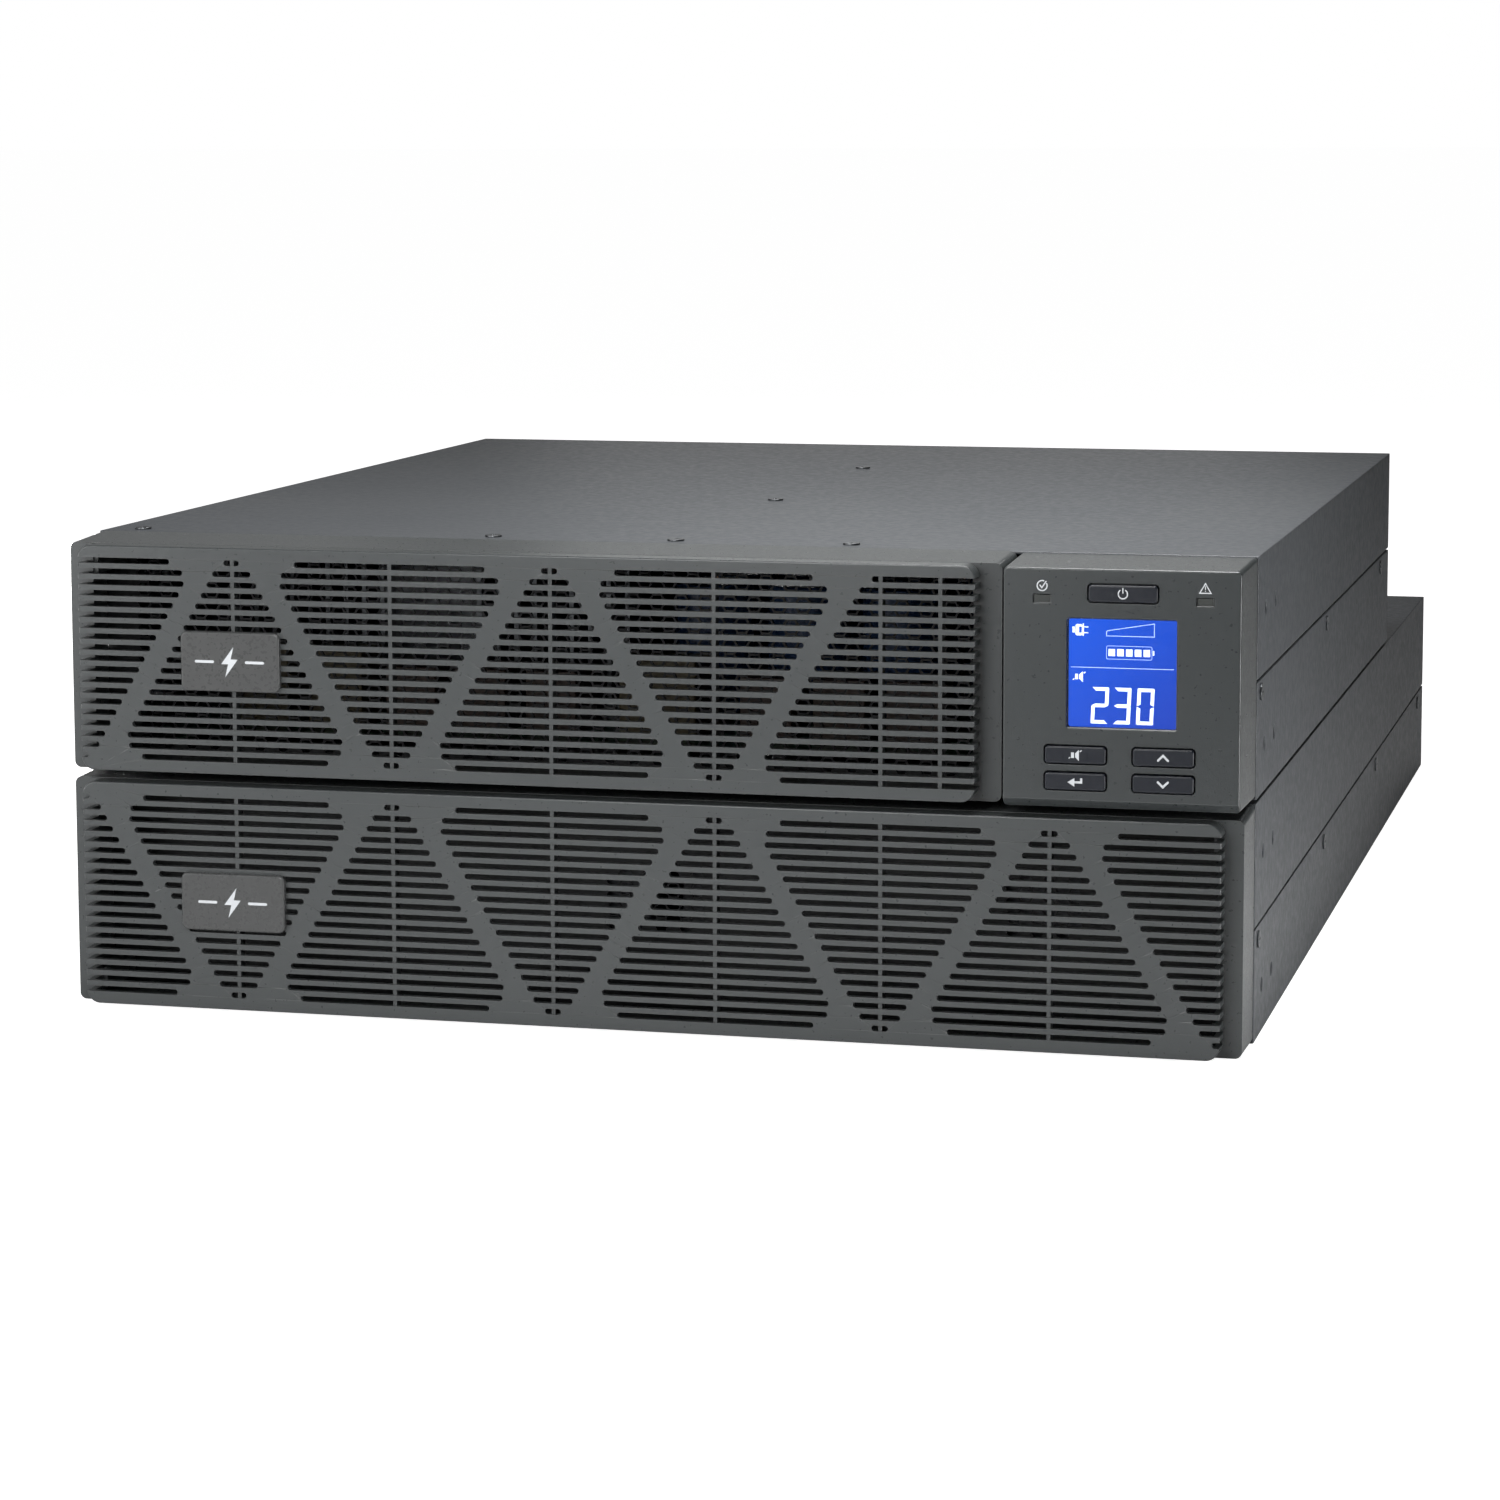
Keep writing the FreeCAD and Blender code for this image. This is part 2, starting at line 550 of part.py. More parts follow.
def toggle(cx, cz, depth):
    """Lever on a round hub with a pivot pin, tilted up in the closed position."""
    y = depth - TOGGLE_SET_BACK
    hub = rod(6, 15, (cx - 7.5, y, cz), (1, 0, 0))
    pin = rod(SHAFT_R, 21, (cx - 10.5, y, cz), (1, 0, 0))
    lever = block_yz(cx - 6, cx + 6, 0, 17, 2.0)
    lever.Placement = FreeCAD.Placement(V(0, y, cz), FreeCAD.Rotation(V(1, 0, 0), TOGGLE_TILT))
    return fuse([hub, pin, lever])


def block_yz(x0, x1, y0, y1, half):
    """Lever blade along Y with a round tip."""
    return fuse([box(x0, x1, y0, y1 - half, -half, half), rod(half, x1 - x0, (x0, y1 - half, 0), (1, 0, 0))])


def nose_hole(cx, cz, depth):
    w, h = BREAKER_W / 2 - 4, BREAKER_H / 2 - 6
    return box(cx - w, cx + w, depth - 3, depth + 3, cz - h, cz + h)


def battery_socket(cx, cz, depth):
    w, h = SOCKET_W / 2, SOCKET_H / 2
    body = block(cx - w, cx + w, depth - 10, depth + SOCKET_BACK, cz - h, cz + h, 2)
    wells = [box(cx + s * 9.5 - 7.5, cx + s * 9.5 + 7.5, depth + SOCKET_BACK - 12, depth + SOCKET_BACK + 1,
                 cz - 10, cz + 10) for s in (-1, 1)]
    return cut_all(body, wells)


def socket_hole(cx, cz, depth):
    w, h = SOCKET_W / 2, SOCKET_H / 2
    return block(cx - w, cx + w, depth - 3, depth + 3, cz - h, cz + h, 2)


def port(cx, cz, depth, size, well, proud):
    """Signal port body through the panel with a rectangular well."""
    (w, h), (ww, wh, wd) = size, well
    body = box(cx - w / 2, cx + w / 2, depth - 13, depth + proud, cz - h / 2, cz + h / 2)
    return body.cut(box(cx - ww / 2, cx + ww / 2, depth + proud - wd, depth + proud + 1, cz - wh / 2, cz + wh / 2))


# x, body size, well size, how far it stands out
UPS_PORTS = [
    (200.0, (16.0, 14.0), (11.8, 8.4, 11.0), 1.0),
    (183.0, (16.0, 14.0), (11.8, 8.4, 11.0), 1.0),
    (162.0, (12.2, 11.0), (8.6, 7.8, 9.0), 1.0),
    (143.0, (14.0, 9.0), (10.4, 5.6, 7.0), 3.0),
]
SERIAL_X = 116.0
RJ = ((16.0, 14.0), (11.8, 8.4, 11.0), 1.0)


def serial_port():
    """Nine-way socket: a flange plate and a standing shell with nine contact holes."""
    z, y = UPS_Z + PORT_Z, UPS_DEPTH
    flange = box(SERIAL_X - 15.4, SERIAL_X + 15.4, y, y + 1, z - 6.2, z + 6.2)
    shell = block(SERIAL_X - 8.4, SERIAL_X + 8.4, y - 10, y + 6, z - 4, z + 4, 2.2)
    pins = [(SERIAL_X + 2.75 * (i - 2), z + 1.4) for i in range(5)]
    pins += [(SERIAL_X + 2.75 * (i - 1.5), z - 1.4) for i in range(4)]
    jacks = [rod(2.4, 6, (SERIAL_X + s * 12.5, y, z), (0, 1, 0)) for s in (-1, 1)]
    return cut_all(fuse([flange, shell] + jacks), y_holes(pins, y + 6, 0.6))


def comms_ports():
    ports = [port(x, UPS_Z + PORT_Z, UPS_DEPTH, size, well, proud) for x, size, well, proud in UPS_PORTS]
    return Part.makeCompound(ports + [serial_port()])


def vent_slots(x0, x1, z0, z1, depth):
    n = int((x1 - x0) / 5.0)
    return [block(x0 + 5.0 * i, x0 + 5.0 * i + 2.6, depth - 3, depth + 3, z0, z1, 1.29) for i in range(n)]


def ups_rear_panel():
    z, d = UPS_Z, UPS_DEPTH
    panel = box(-INNER, INNER, d - SHEET, d, z + SHEET, z + CASE_H - SHEET)
    cutters = y_holes(rear_screw_points(z), d, SCREW_R + 0.2)
    for cx in FAN_X:
        cutters.append(rod(DUCT_R, 6, (cx, d - 3, z + MID_Z), (0, 1, 0)))
        cutters += y_holes(fan_screw_points(cx), d, SCREW_R + 0.2)
    cutters.append(nose_hole(UPS_BREAKER[0], z + UPS_BREAKER[1], d))
    cutters += [socket_hole(x, z + sz, d) for x, sz in UPS_SOCKETS]
    cutters += [box(x - w / 2, x + w / 2, d - 3, d + 3, z + PORT_Z - h / 2, z + PORT_Z + h / 2)
                for x, (w, h), _, _ in UPS_PORTS]
    cutters.append(block(SERIAL_X - 8.4, SERIAL_X + 8.4, d - 3, d + 3, z + PORT_Z - 4, z + PORT_Z + 4, 2.2))
    x0, x1, z0, z1 = TERMINAL
    cutters.append(box(x0 + 6, x1 - 6, d - 3, d + 3, z + z0 + 8, z + z1 - 8))
    x0, x1, z0, z1 = CARD
    cutters.append(box(x0 + 9, x1 - 9, d - 3, d + 3, z + z0 + 3, z + z1 - 3))
    cutters += y_holes(card_screw_points(), d, SCREW_R + 0.2)
    cutters += vent_slots(47, 88, z + 44, z + 78, d)
    return cut_all(panel, cutters)


def pack_rear_panel():
    d = PACK_DEPTH
    panel = box(-INNER, INNER, d - SHEET, d, SHEET, CASE_H - SHEET)
    cutters = y_holes(rear_screw_points(0), d, SCREW_R + 0.2)
    cutters.append(nose_hole(*PACK_BREAKER, d))
    cutters += [socket_hole(x, z, d) for x, z in PACK_SOCKETS]
    (w, h), _, _ = RJ
    cutters += [box(x - w / 2, x + w / 2, d - 3, d + 3, z - h / 2, z + h / 2) for x, z in PACK_PORTS]
    cutters += vent_slots(140, 200, 24, 64, d) + vent_slots(-200, -160, 24, 64, d)
    return cut_all(panel, cutters)


def card_screw_points():
    x0, x1, z0, z1 = CARD
    return [(x, UPS_Z + (z0 + z1) / 2) for x in (x0 + 4.5, x1 - 4.5)]


def card_slot_cover():
    x0, x1, z0, z1 = CARD
    plate = block(x0, x1, UPS_DEPTH, UPS_DEPTH + SHEET, UPS_Z + z0, UPS_Z + z1, 1)
    return cut_all(plate, y_holes(card_screw_points(), UPS_DEPTH, SCREW_R + 0.2))


def thumbscrew(x, z):
    y = UPS_DEPTH + SHEET
    head = rod(3.8, 6, (x, y, z), (0, 1, 0))
    grooves = []
    for k in range(12):
        a = math.radians(30 * k)
        grooves.append(rod(0.45, 5, (x + 3.9 * math.cos(a), y + 1.5, z + 3.9 * math.sin(a)), (0, 1, 0)))
    return fuse([cut_all(head, grooves), rod(SCREW_R, 8, (x, y - 7.5, z), (0, 1, 0))])


def terminal_block():
    """Hard-wiring block: insulated barrier strip with a clamp screw in each bay."""
    x0, x1, z0, z1 = TERMINAL
    d, z = UPS_DEPTH, UPS_Z
    body = box(x0 + 6, x1 - 6, d - 14, d + 5, z + z0 + 8, z + z1 - 8)
    bays, screws = 6, []
    pitch = (x1 - x0 - 12) / bays
    walls = [box(x0 + 6 + pitch * i - 0.8, x0 + 6 + pitch * i + 0.8, d + 4, d + 10, z + z0 + 8, z + z1 - 8)
             for i in range(1, bays)]
    for i in range(bays):
        x = x0 + 6 + pitch * (i + 0.5)
        screws += [rod(4.5, 3, (x, d + 4, z + (z0 + z1) / 2 + s * 9), (0, 1, 0)) for s in (-1, 1)]
    return fuse([body] + walls + screws)


def terminal_cover():
    x0, x1, z0, z1 = TERMINAL
    d, z, t = UPS_DEPTH, UPS_Z, 1.5
    shell = block(x0, x1, d, d + TERMINAL_BACK, z + z0, z + z1, 3)
    shell = soften(shell, d + TERMINAL_BACK, 1.0)
    shell = shell.cut(box(x0 + t, x1 - t, d - 1, d + TERMINAL_BACK - t, z + z0 + t, z + z1 - t))
    holes = [rod(GLAND_R, 8, (x, d + TERMINAL_BACK - 5, z + gz), (0, 1, 0)) for x, gz in GLANDS]
    return cut_all(shell, holes)


# ---- inside the power module ----
BOARD_SPAN = (-210.0, 210.0, 24.0, 404.0)
BOARD_LIFT = 6.0         # posts under the main board
POST_R = 3.5
BOARD_TOP = UPS_Z + SHEET + BOARD_LIFT + BOARD_T

SINK_X, SINK_Y = (-196.0, -96.0), (80.0, 390.0)
SINK_W, SINK_BASE, SINK_H = 62.0, 7.0, 66.0
FINS, FIN_PITCH, FIN_T = 9, 7.5, 2.0

CAN_R, CAN_H, CAN_PITCH = 16.0, 52.0, 38.0
CAN_FIRST, CAN_COLUMNS, CAN_ROWS = (-8.0, 110.0), 3, 4

CHOKE_X, CHOKE_Y = (0.0, 70.0), 330.0
CHOKE_RING, CHOKE_WINDING = 20.0, 11.0
TRANSFORMER = (120.0, 190.0, 300.0, 360.0, 55.0)

RELAY_X, RELAY_SIZE = (-120.0, -92.0, -64.0, 20.0, 48.0, 76.0), (20.0, 28.0, 24.0)
RELAY_Y = 40.0
FILTERS = ((-180.0, 22.0), (-150.0, 22.0), (-26.0, 30.0), (110.0, 26.0), (150.0, 30.0))
FILTER_Y, FILTER_H = (36.0, 60.0), 30.0
CONTROL_X, CONTROL_Y, CONTROL_H = 118.0, (90.0, 280.0), 62.0


def main_board():
    z = UPS_Z + SHEET
    x0, x1, y0, y1 = BOARD_SPAN
    board = box(x0, x1, y0, y1, z + BOARD_LIFT, z + BOARD_LIFT + BOARD_T)
    inset = 10.0
    spots = [(x, y) for x in (x0 + inset, (x0 + x1) / 2, x1 - inset)
             for y in (y0 + inset, (y0 + y1) / 2, y1 - inset)]
    return fuse([board] + [rod(POST_R, BOARD_LIFT, (x, y, z), (0, 0, 1)) for x, y in spots])


def heatsinks():
    y0, y1 = SINK_Y
    sinks = []
    for x0 in SINK_X:
        base = box(x0, x0 + SINK_W, y0, y1, BOARD_TOP, BOARD_TOP + SINK_BASE)
        fins = [box(x0 + FIN_PITCH * i, x0 + FIN_PITCH * i + FIN_T, y0, y1,
                    BOARD_TOP + SINK_BASE - 1, BOARD_TOP + SINK_H) for i in range(FINS)]
        sinks.append(fuse([base] + fins))
    return Part.makeCompound(sinks)


def capacitors():
    x0, y0 = CAN_FIRST
    spots = [(x0 + CAN_PITCH * i, y0 + CAN_PITCH * j) for i in range(CAN_COLUMNS) for j in range(CAN_ROWS)]
    return Part.makeCompound([rod(CAN_R, CAN_H, (x, y, BOARD_TOP), (0, 0, 1)) for x, y in spots])


def chokes():
    z = BOARD_TOP + CHOKE_RING + CHOKE_WINDING
    coils = [Part.makeTorus(CHOKE_RING, CHOKE_WINDING, V(x, CHOKE_Y, z), V(0, 1, 0)) for x in CHOKE_X]
    x0, x1, y0, y1, h = TRANSFORMER
    return Part.makeCompound(coils + [box(x0, x1, y0, y1, BOARD_TOP, BOARD_TOP + h)])


def relays():
    w, length, h = RELAY_SIZE
    return Part.makeCompound([box(x, x + w, RELAY_Y, RELAY_Y + length, BOARD_TOP, BOARD_TOP + h)
                              for x in RELAY_X])


def filter_parts():
    y0, y1 = FILTER_Y
    return Part.makeCompound([box(x, x + w, y0, y1, BOARD_TOP, BOARD_TOP + FILTER_H) for x, w in FILTERS])


def control_board():
    y0, y1 = CONTROL_Y
    return box(CONTROL_X, CONTROL_X + BOARD_T, y0, y1, BOARD_TOP, BOARD_TOP + CONTROL_H)


# ---- inside the battery pack ----
def tray_span(side):
    """X range of one battery tray: two blocks side by side with a gap for the straps."""
    width = 2 * BATTERY[0] + STRAP_GAP
    return (6.0, 6.0 + width) if side > 0 else (-6.0 - width, -6.0)


def battery_tray(side):
    x0, x1 = tray_span(side)
    y0, y1 = BATTERY_Y0 - 1, BATTERY_Y0 + 3 * BATTERY_PITCH + BATTERY[1] + 1
    floor = box(x0 - 1, x1 + 1, y0, y1, SHEET, SHEET + 1)
    sides = [box(x, x + 1, y0, y1, SHEET, SHEET + 22) for x in (x0 - 1, x1)]
    return fuse([floor] + sides)


def batteries(side):
    x0, x1 = tray_span(side)
    w, length, h = BATTERY
    blocks = []
    for j in range(4):
        y = BATTERY_Y0 + BATTERY_PITCH * j
        for x in (x0, x1 - w):
            blocks.append(box(x, x + w, y, y + length, SHEET + 1, SHEET + 1 + h))
    return Part.makeCompound(blocks)


STRAP_Y, STRAP_Z = (-15.0, 12.0), (52.0, 56.0)
FUSE_BOARD = (-90.0, 50.0, 6.0, 80.0)
FUSE_BOARD_SET_BACK = 34.0
FUSE_X, FUSE_Z, FUSE_R, FUSE_LENGTH = (-60.0, 0.0), 70.0, 5.0, 30.0
CLIP_W, CLIP_IN = 4.0, 4.0


def battery_straps():
    straps = []
    for side in (-1, 1):
        x0, _ = tray_span(side)
        x = x0 + BATTERY[0]
        for j in range(1, 4):
            y = BATTERY_Y0 + BATTERY_PITCH * j
            straps.append(box(x, x + STRAP_GAP, y + STRAP_Y[0], y + STRAP_Y[1], *STRAP_Z))
    return Part.makeCompound(straps)


def pack_fuse_board():
    """Upright board with two cartridge fuses, each held in two clips."""
    y = PACK_DEPTH - SHEET - FUSE_BOARD_SET_BACK
    x0, x1, z0, z1 = FUSE_BOARD
    board = box(x0, x1, y, y + BOARD_T, z0, z1)
    axis_y = y + 2 * FUSE_R
    fuses = [rod(FUSE_R, FUSE_LENGTH, (x, axis_y, FUSE_Z), (1, 0, 0)) for x in FUSE_X]
    clips = []
    for x in FUSE_X:
        for cx in (x + CLIP_IN, x + FUSE_LENGTH - CLIP_IN - 2 * CLIP_W):
            clips.append(box(cx, cx + CLIP_W, y + BOARD_T, axis_y - 2, FUSE_Z - 4, FUSE_Z + 4))
    return fuse([board] + fuses + clips)


def pack_ports():
    size, well, proud = RJ
    return Part.makeCompound([port(x, z, PACK_DEPTH, size, well, proud) for x, z in PACK_PORTS])


def all_parts():
    ups_case = (UPS_Z, UPS_DEPTH, UPS_SEAM, UPS_SIDE_SCREWS)
    pack_case = (0, PACK_DEPTH, PACK_SEAM, PACK_SIDE_SCREWS)
    fan_eyes = [(x, UPS_DEPTH + EYE_T, z) for cx in FAN_X for x, z in fan_screw_points(cx)]
    ups_breaker = (UPS_BREAKER[0], UPS_Z + UPS_BREAKER[1], UPS_DEPTH)
    pack_breaker = (*PACK_BREAKER, PACK_DEPTH)
    parts = {
        "pack_tray": make_tray(*pack_case),
        "pack_cover": make_cover(*pack_case, ()),
        "pack_front_panel": pack_front_panel(),
        "pack_rear_panel": pack_rear_panel(),
        "pack_bezel": pack_bezel(),
        "pack_badge": badge(0, PACK_BADGE),
        "battery_tray_left": battery_tray(-1),
        "battery_tray_right": battery_tray(1),
        "batteries_left": batteries(-1),
        "batteries_right": batteries(1),
        "battery_straps": battery_straps(),
        "pack_fuse_board": pack_fuse_board(),
        "dc_breaker": breaker(*pack_breaker, 38),
        "dc_breaker_toggle": toggle(*pack_breaker),
        "pack_battery_sockets": Part.makeCompound([battery_socket(x, z, PACK_DEPTH) for x, z in PACK_SOCKETS]),
        "pack_link_ports": pack_ports(),
        "pack_side_screws": side_screws(0, PACK_SEAM, PACK_SIDE_SCREWS),
        "pack_rear_screws": rear_screws(0, PACK_DEPTH),
        "stacking_pads": stacking_pads(),
        "ups_tray": make_tray(*ups_case),
        "ups_cover": make_cover(*ups_case, TOP_SCREWS),
        "ups_front_panel": ups_front_panel(),
        "ups_rear_panel": ups_rear_panel(),
        "ups_bezel": ups_bezel(),
        "ups_badge": badge(UPS_Z, UPS_BADGE),
        "display_housing": display_housing(),
        "display_back": display_back(),
        "display_window": display_window(),
        "lcd_panel": lcd_panel(),
        "display_board": display_board(),
        "main_board": main_board(),
        "control_board": control_board(),
        "heatsinks": heatsinks(),
        "capacitors": capacitors(),
        "chokes": chokes(),
        "relays": relays(),
        "filter_parts": filter_parts(),
        "fan_guards": Part.makeCompound([fan_guard(cx) for cx in FAN_X]),
        "input_breaker": breaker(*ups_breaker, 60),
        "input_breaker_toggle": toggle(*ups_breaker),
        "terminal_block": terminal_block(),
        "terminal_cover": terminal_cover(),
        "ups_battery_socket": battery_socket(UPS_SOCKETS[0][0], UPS_Z + UPS_SOCKETS[0][1], UPS_DEPTH),
        "comms_ports": comms_ports(),
        "card_slot_cover": card_slot_cover(),
        "card_thumbscrews": Part.makeCompound([thumbscrew(x, z) for x, z in card_screw_points()]),
        "ups_top_screws": top_screws(),
        "ups_side_screws": side_screws(UPS_Z, UPS_SEAM, UPS_SIDE_SCREWS),
        "ups_rear_screws": rear_screws(UPS_Z, UPS_DEPTH, fan_eyes),
    }
    for side, cx in zip(("left", "right"), FAN_X):
        parts["fan_frame_" + side] = fan_frame(cx)
        parts["fan_rotor_" + side] = fan_rotor(cx)
    for name, x0, x1, z0, z1 in BUTTONS:
        parts[name] = button(x0, x1, z0, z1)
    for name, x0, x1, z0, z1 in LIGHTS:
        parts[name] = light_pipe(x0, x1, z0, z1)
    return parts


def main():
    os.makedirs("parts", exist_ok=True)
    for name, shape in all_parts().items():
        shape.translate(V(0, ORIGIN_Y, 0))
        shape.exportStep("parts/" + name + ".step")


if __name__ == "__main__":
    main()
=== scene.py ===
"""Finishes and fine parts of the two-unit rack UPS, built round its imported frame.

Lengths are in millimetres in the unit's working frame and MM turns them into metres: X across the
width, Y back from the seam where the fronts meet the steel cases, Z up from the underside.
"""

import json
import math

import bmesh
import bpy
from mathutils import Matrix, Vector


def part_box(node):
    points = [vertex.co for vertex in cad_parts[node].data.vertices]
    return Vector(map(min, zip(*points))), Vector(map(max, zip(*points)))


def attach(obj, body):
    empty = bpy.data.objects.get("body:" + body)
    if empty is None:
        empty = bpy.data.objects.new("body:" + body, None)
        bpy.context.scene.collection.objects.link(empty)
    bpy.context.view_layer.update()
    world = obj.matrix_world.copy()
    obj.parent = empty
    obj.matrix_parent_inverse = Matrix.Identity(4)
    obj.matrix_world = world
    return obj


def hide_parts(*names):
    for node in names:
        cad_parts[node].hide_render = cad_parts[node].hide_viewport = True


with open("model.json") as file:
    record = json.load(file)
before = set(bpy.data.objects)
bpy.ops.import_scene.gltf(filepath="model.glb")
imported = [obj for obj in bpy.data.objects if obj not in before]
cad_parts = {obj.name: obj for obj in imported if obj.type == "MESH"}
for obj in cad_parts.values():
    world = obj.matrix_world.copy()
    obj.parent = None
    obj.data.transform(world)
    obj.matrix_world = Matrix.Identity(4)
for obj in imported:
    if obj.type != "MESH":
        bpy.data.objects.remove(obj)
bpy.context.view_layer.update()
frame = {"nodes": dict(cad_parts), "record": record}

MM = 0.001
NODES = frame["nodes"]
SEAM_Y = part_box("ups_tray")[0].y
UPS_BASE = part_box("ups_tray")[0].z / MM


def span(node):
    """Box of a CAD node in the working frame: x0, x1, y0, y1, z0, z1 in millimetres."""
    low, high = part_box(node)
    return (low.x / MM, high.x / MM, (low.y - SEAM_Y) / MM, (high.y - SEAM_Y) / MM,
            low.z / MM, high.z / MM)


# ---------------------------------------------------------------- node helpers
def add_node(tree, kind, inputs=None, **settings):
    """New shader node; inputs maps socket names or numbers to values or other sockets."""
    made = tree.nodes.new("ShaderNode" + kind)
    for key, value in settings.items():
        setattr(made, key, value)
    for socket, value in (inputs or {}).items():
        if isinstance(value, bpy.types.NodeSocket):
            tree.links.new(value, made.inputs[socket])
        else:
            made.inputs[socket].default_value = value
    return made


def math_node(tree, operation, a, b=0.0, clamp=False):
    return add_node(tree, "Math", {0: a, 1: b}, operation=operation, use_clamp=clamp).outputs[0]


def mix_colour(tree, factor, a, b, blend="MIX"):
    made = add_node(tree, "Mix", {"Factor": factor, 6: a, 7: b}, data_type="RGBA", blend_type=blend)
    return made.outputs[2]


def remap(tree, value, low, high, to_low, to_high):
    return add_node(tree, "MapRange", {0: value, 1: low, 2: high, 3: to_low, 4: to_high}).outputs[0]


def object_point(tree):
    return add_node(tree, "TexCoord").outputs["Object"]


def effect(name, inputs, outputs):
    """Empty shader node group; returns its tree, its inputs by name and its output node."""
    group = bpy.data.node_groups.new(name, "ShaderNodeTree")
    for label, kind, value in inputs:
        socket = group.interface.new_socket(label, in_out="INPUT", socket_type="NodeSocket" + kind)
        socket.default_value = value
    for label, kind in outputs:
        group.interface.new_socket(label, in_out="OUTPUT", socket_type="NodeSocket" + kind)
    return group, group.nodes.new("NodeGroupInput").outputs, group.nodes.new("NodeGroupOutput")


# ---------------------------------------------------------------- shared effects
GREY = (0.5, 0.5, 0.5, 1.0)


def build_moulded_grain():
    """Fine texture of moulded plastic and powder coat: height and a speckle value."""
    group, given, out = effect(
        "moulded_grain", [("Scale", "Float", 2200.0)],
        [("Height", "Float"), ("Speckle", "Float")])
    point = object_point(group)
    fine = add_node(group, "TexNoise", {"Vector": point, "Scale": given["Scale"], "Detail": 3.0})
    coarse_scale = math_node(group, "MULTIPLY", given["Scale"], 0.23)
    coarse = add_node(group, "TexNoise", {"Vector": point, "Scale": coarse_scale, "Detail": 2.0})
    height = math_node(group, "MULTIPLY_ADD", coarse.outputs[0], 0.6)
    group.links.new(fine.outputs[0], height.node.inputs[2])
    group.links.new(height, out.inputs["Height"])
    group.links.new(remap(group, coarse.outputs[0], 0.3, 0.7, 0.0, 1.0), out.inputs["Speckle"])
    return group


def build_tone_drift():
    """Slow light and dark drift of one colour over a surface, and a finer mottle."""
    group, given, out = effect(
        "tone_drift", [("Color", "Color", GREY), ("Amount", "Float", 0.08), ("Scale", "Float", 6.0)],
        [("Color", "Color")])
    point = object_point(group)
    broad = add_node(group, "TexNoise", {"Vector": point, "Scale": given["Scale"], "Detail": 2.0})
    mottle_scale = math_node(group, "MULTIPLY", given["Scale"], 45.0)
    mottle = add_node(group, "TexNoise", {"Vector": point, "Scale": mottle_scale, "Detail": 3.0})
    both = math_node(group, "ADD", broad.outputs[0], mottle.outputs[0])
    swing = math_node(group, "SUBTRACT", both, 1.0)
    gain = math_node(group, "MULTIPLY_ADD", swing, given["Amount"])
    gain.node.inputs[2].default_value = 1.0
    shade = add_node(group, "CombineColor", {0: gain, 1: gain, 2: gain})
    group.links.new(mix_colour(group, 1.0, given["Color"], shade.outputs[0], "MULTIPLY"),
                    out.inputs["Color"])
    return group


def build_edge_wear_and_highlight():
    """Lighter outer edges: partly handling wear, partly a painted highlight for light catching the edges."""
    group, given, out = effect(
        "edge_wear_and_highlight",
        [("Color", "Color", GREY), ("Rubbed Color", "Color", GREY),
         ("Radius", "Float", 0.0005), ("Amount", "Float", 0.5)],
        [("Color", "Color"), ("Mask", "Float")])
    rounded = add_node(group, "Bevel", {"Radius": given["Radius"]}, samples=4)
    flat = add_node(group, "NewGeometry")
    alike = add_node(group, "VectorMath", {0: rounded.outputs[0], 1: flat.outputs["Normal"]},
                     operation="DOT_PRODUCT")
    edge = remap(group, alike.outputs["Value"], 0.995, 0.86, 0.0, 1.0)
    patches = add_node(group, "TexNoise", {"Vector": object_point(group), "Scale": 90.0, "Detail": 4.0})
    worn_and_lit = math_node(group, "MULTIPLY", edge, remap(group, patches.outputs[0], 0.35, 0.65, 0.45, 1.0))
    mask = math_node(group, "MULTIPLY", worn_and_lit, given["Amount"], clamp=True)
    group.links.new(mix_colour(group, mask, given["Color"], given["Rubbed Color"]), out.inputs["Color"])
    group.links.new(mask, out.inputs["Mask"])
    return group


def build_settled_dust():
    """Thin dust on faces that look up."""
    group, given, out = effect(
        "settled_dust",
        [("Color", "Color", GREY), ("Dust Color", "Color", (0.30, 0.29, 0.27, 1.0)),
         ("Amount", "Float", 0.1)],
        [("Color", "Color"), ("Mask", "Float")])
    facing = add_node(group, "SeparateXYZ", {0: add_node(group, "NewGeometry").outputs["Normal"]})
    upward = remap(group, facing.outputs[2], 0.6, 1.0, 0.0, 1.0)
    clouds = add_node(group, "TexNoise", {"Vector": object_point(group), "Scale": 9.0, "Detail": 6.0})
    cover = math_node(group, "MULTIPLY", upward, remap(group, clouds.outputs[0], 0.35, 0.75, 0.2, 1.0))
    mask = math_node(group, "MULTIPLY", cover, given["Amount"], clamp=True)
    group.links.new(mix_colour(group, mask, given["Color"], given["Dust Color"]), out.inputs["Color"])
    group.links.new(mask, out.inputs["Mask"])
    return group


def build_brush_lines():
    """Fine parallel lines of drawn, rolled or brushed metal; Stretch is the grain's scale per axis."""
    group, given, out = effect(
        "brush_lines", [("Stretch", "Vector", (40.0, 3000.0, 3000.0))],
        [("Height", "Float"), ("Shade", "Float")])
    along = add_node(group, "VectorMath", {0: object_point(group), 1: given["Stretch"]},
                     operation="MULTIPLY")
    lines = add_node(group, "TexNoise", {"Vector": along.outputs[0], "Scale": 1.0, "Detail": 4.0})
    group.links.new(lines.outputs[0], out.inputs["Height"])
    group.links.new(remap(group, lines.outputs[0], 0.3, 0.7, 0.0, 1.0), out.inputs["Shade"])
    return group


EFFECTS = {
    "moulded_grain": build_moulded_grain(),
    "tone_drift": build_tone_drift(),
    "edge_wear_and_highlight": build_edge_wear_and_highlight(),
    "settled_dust": build_settled_dust(),
    "brush_lines": build_brush_lines(),
}


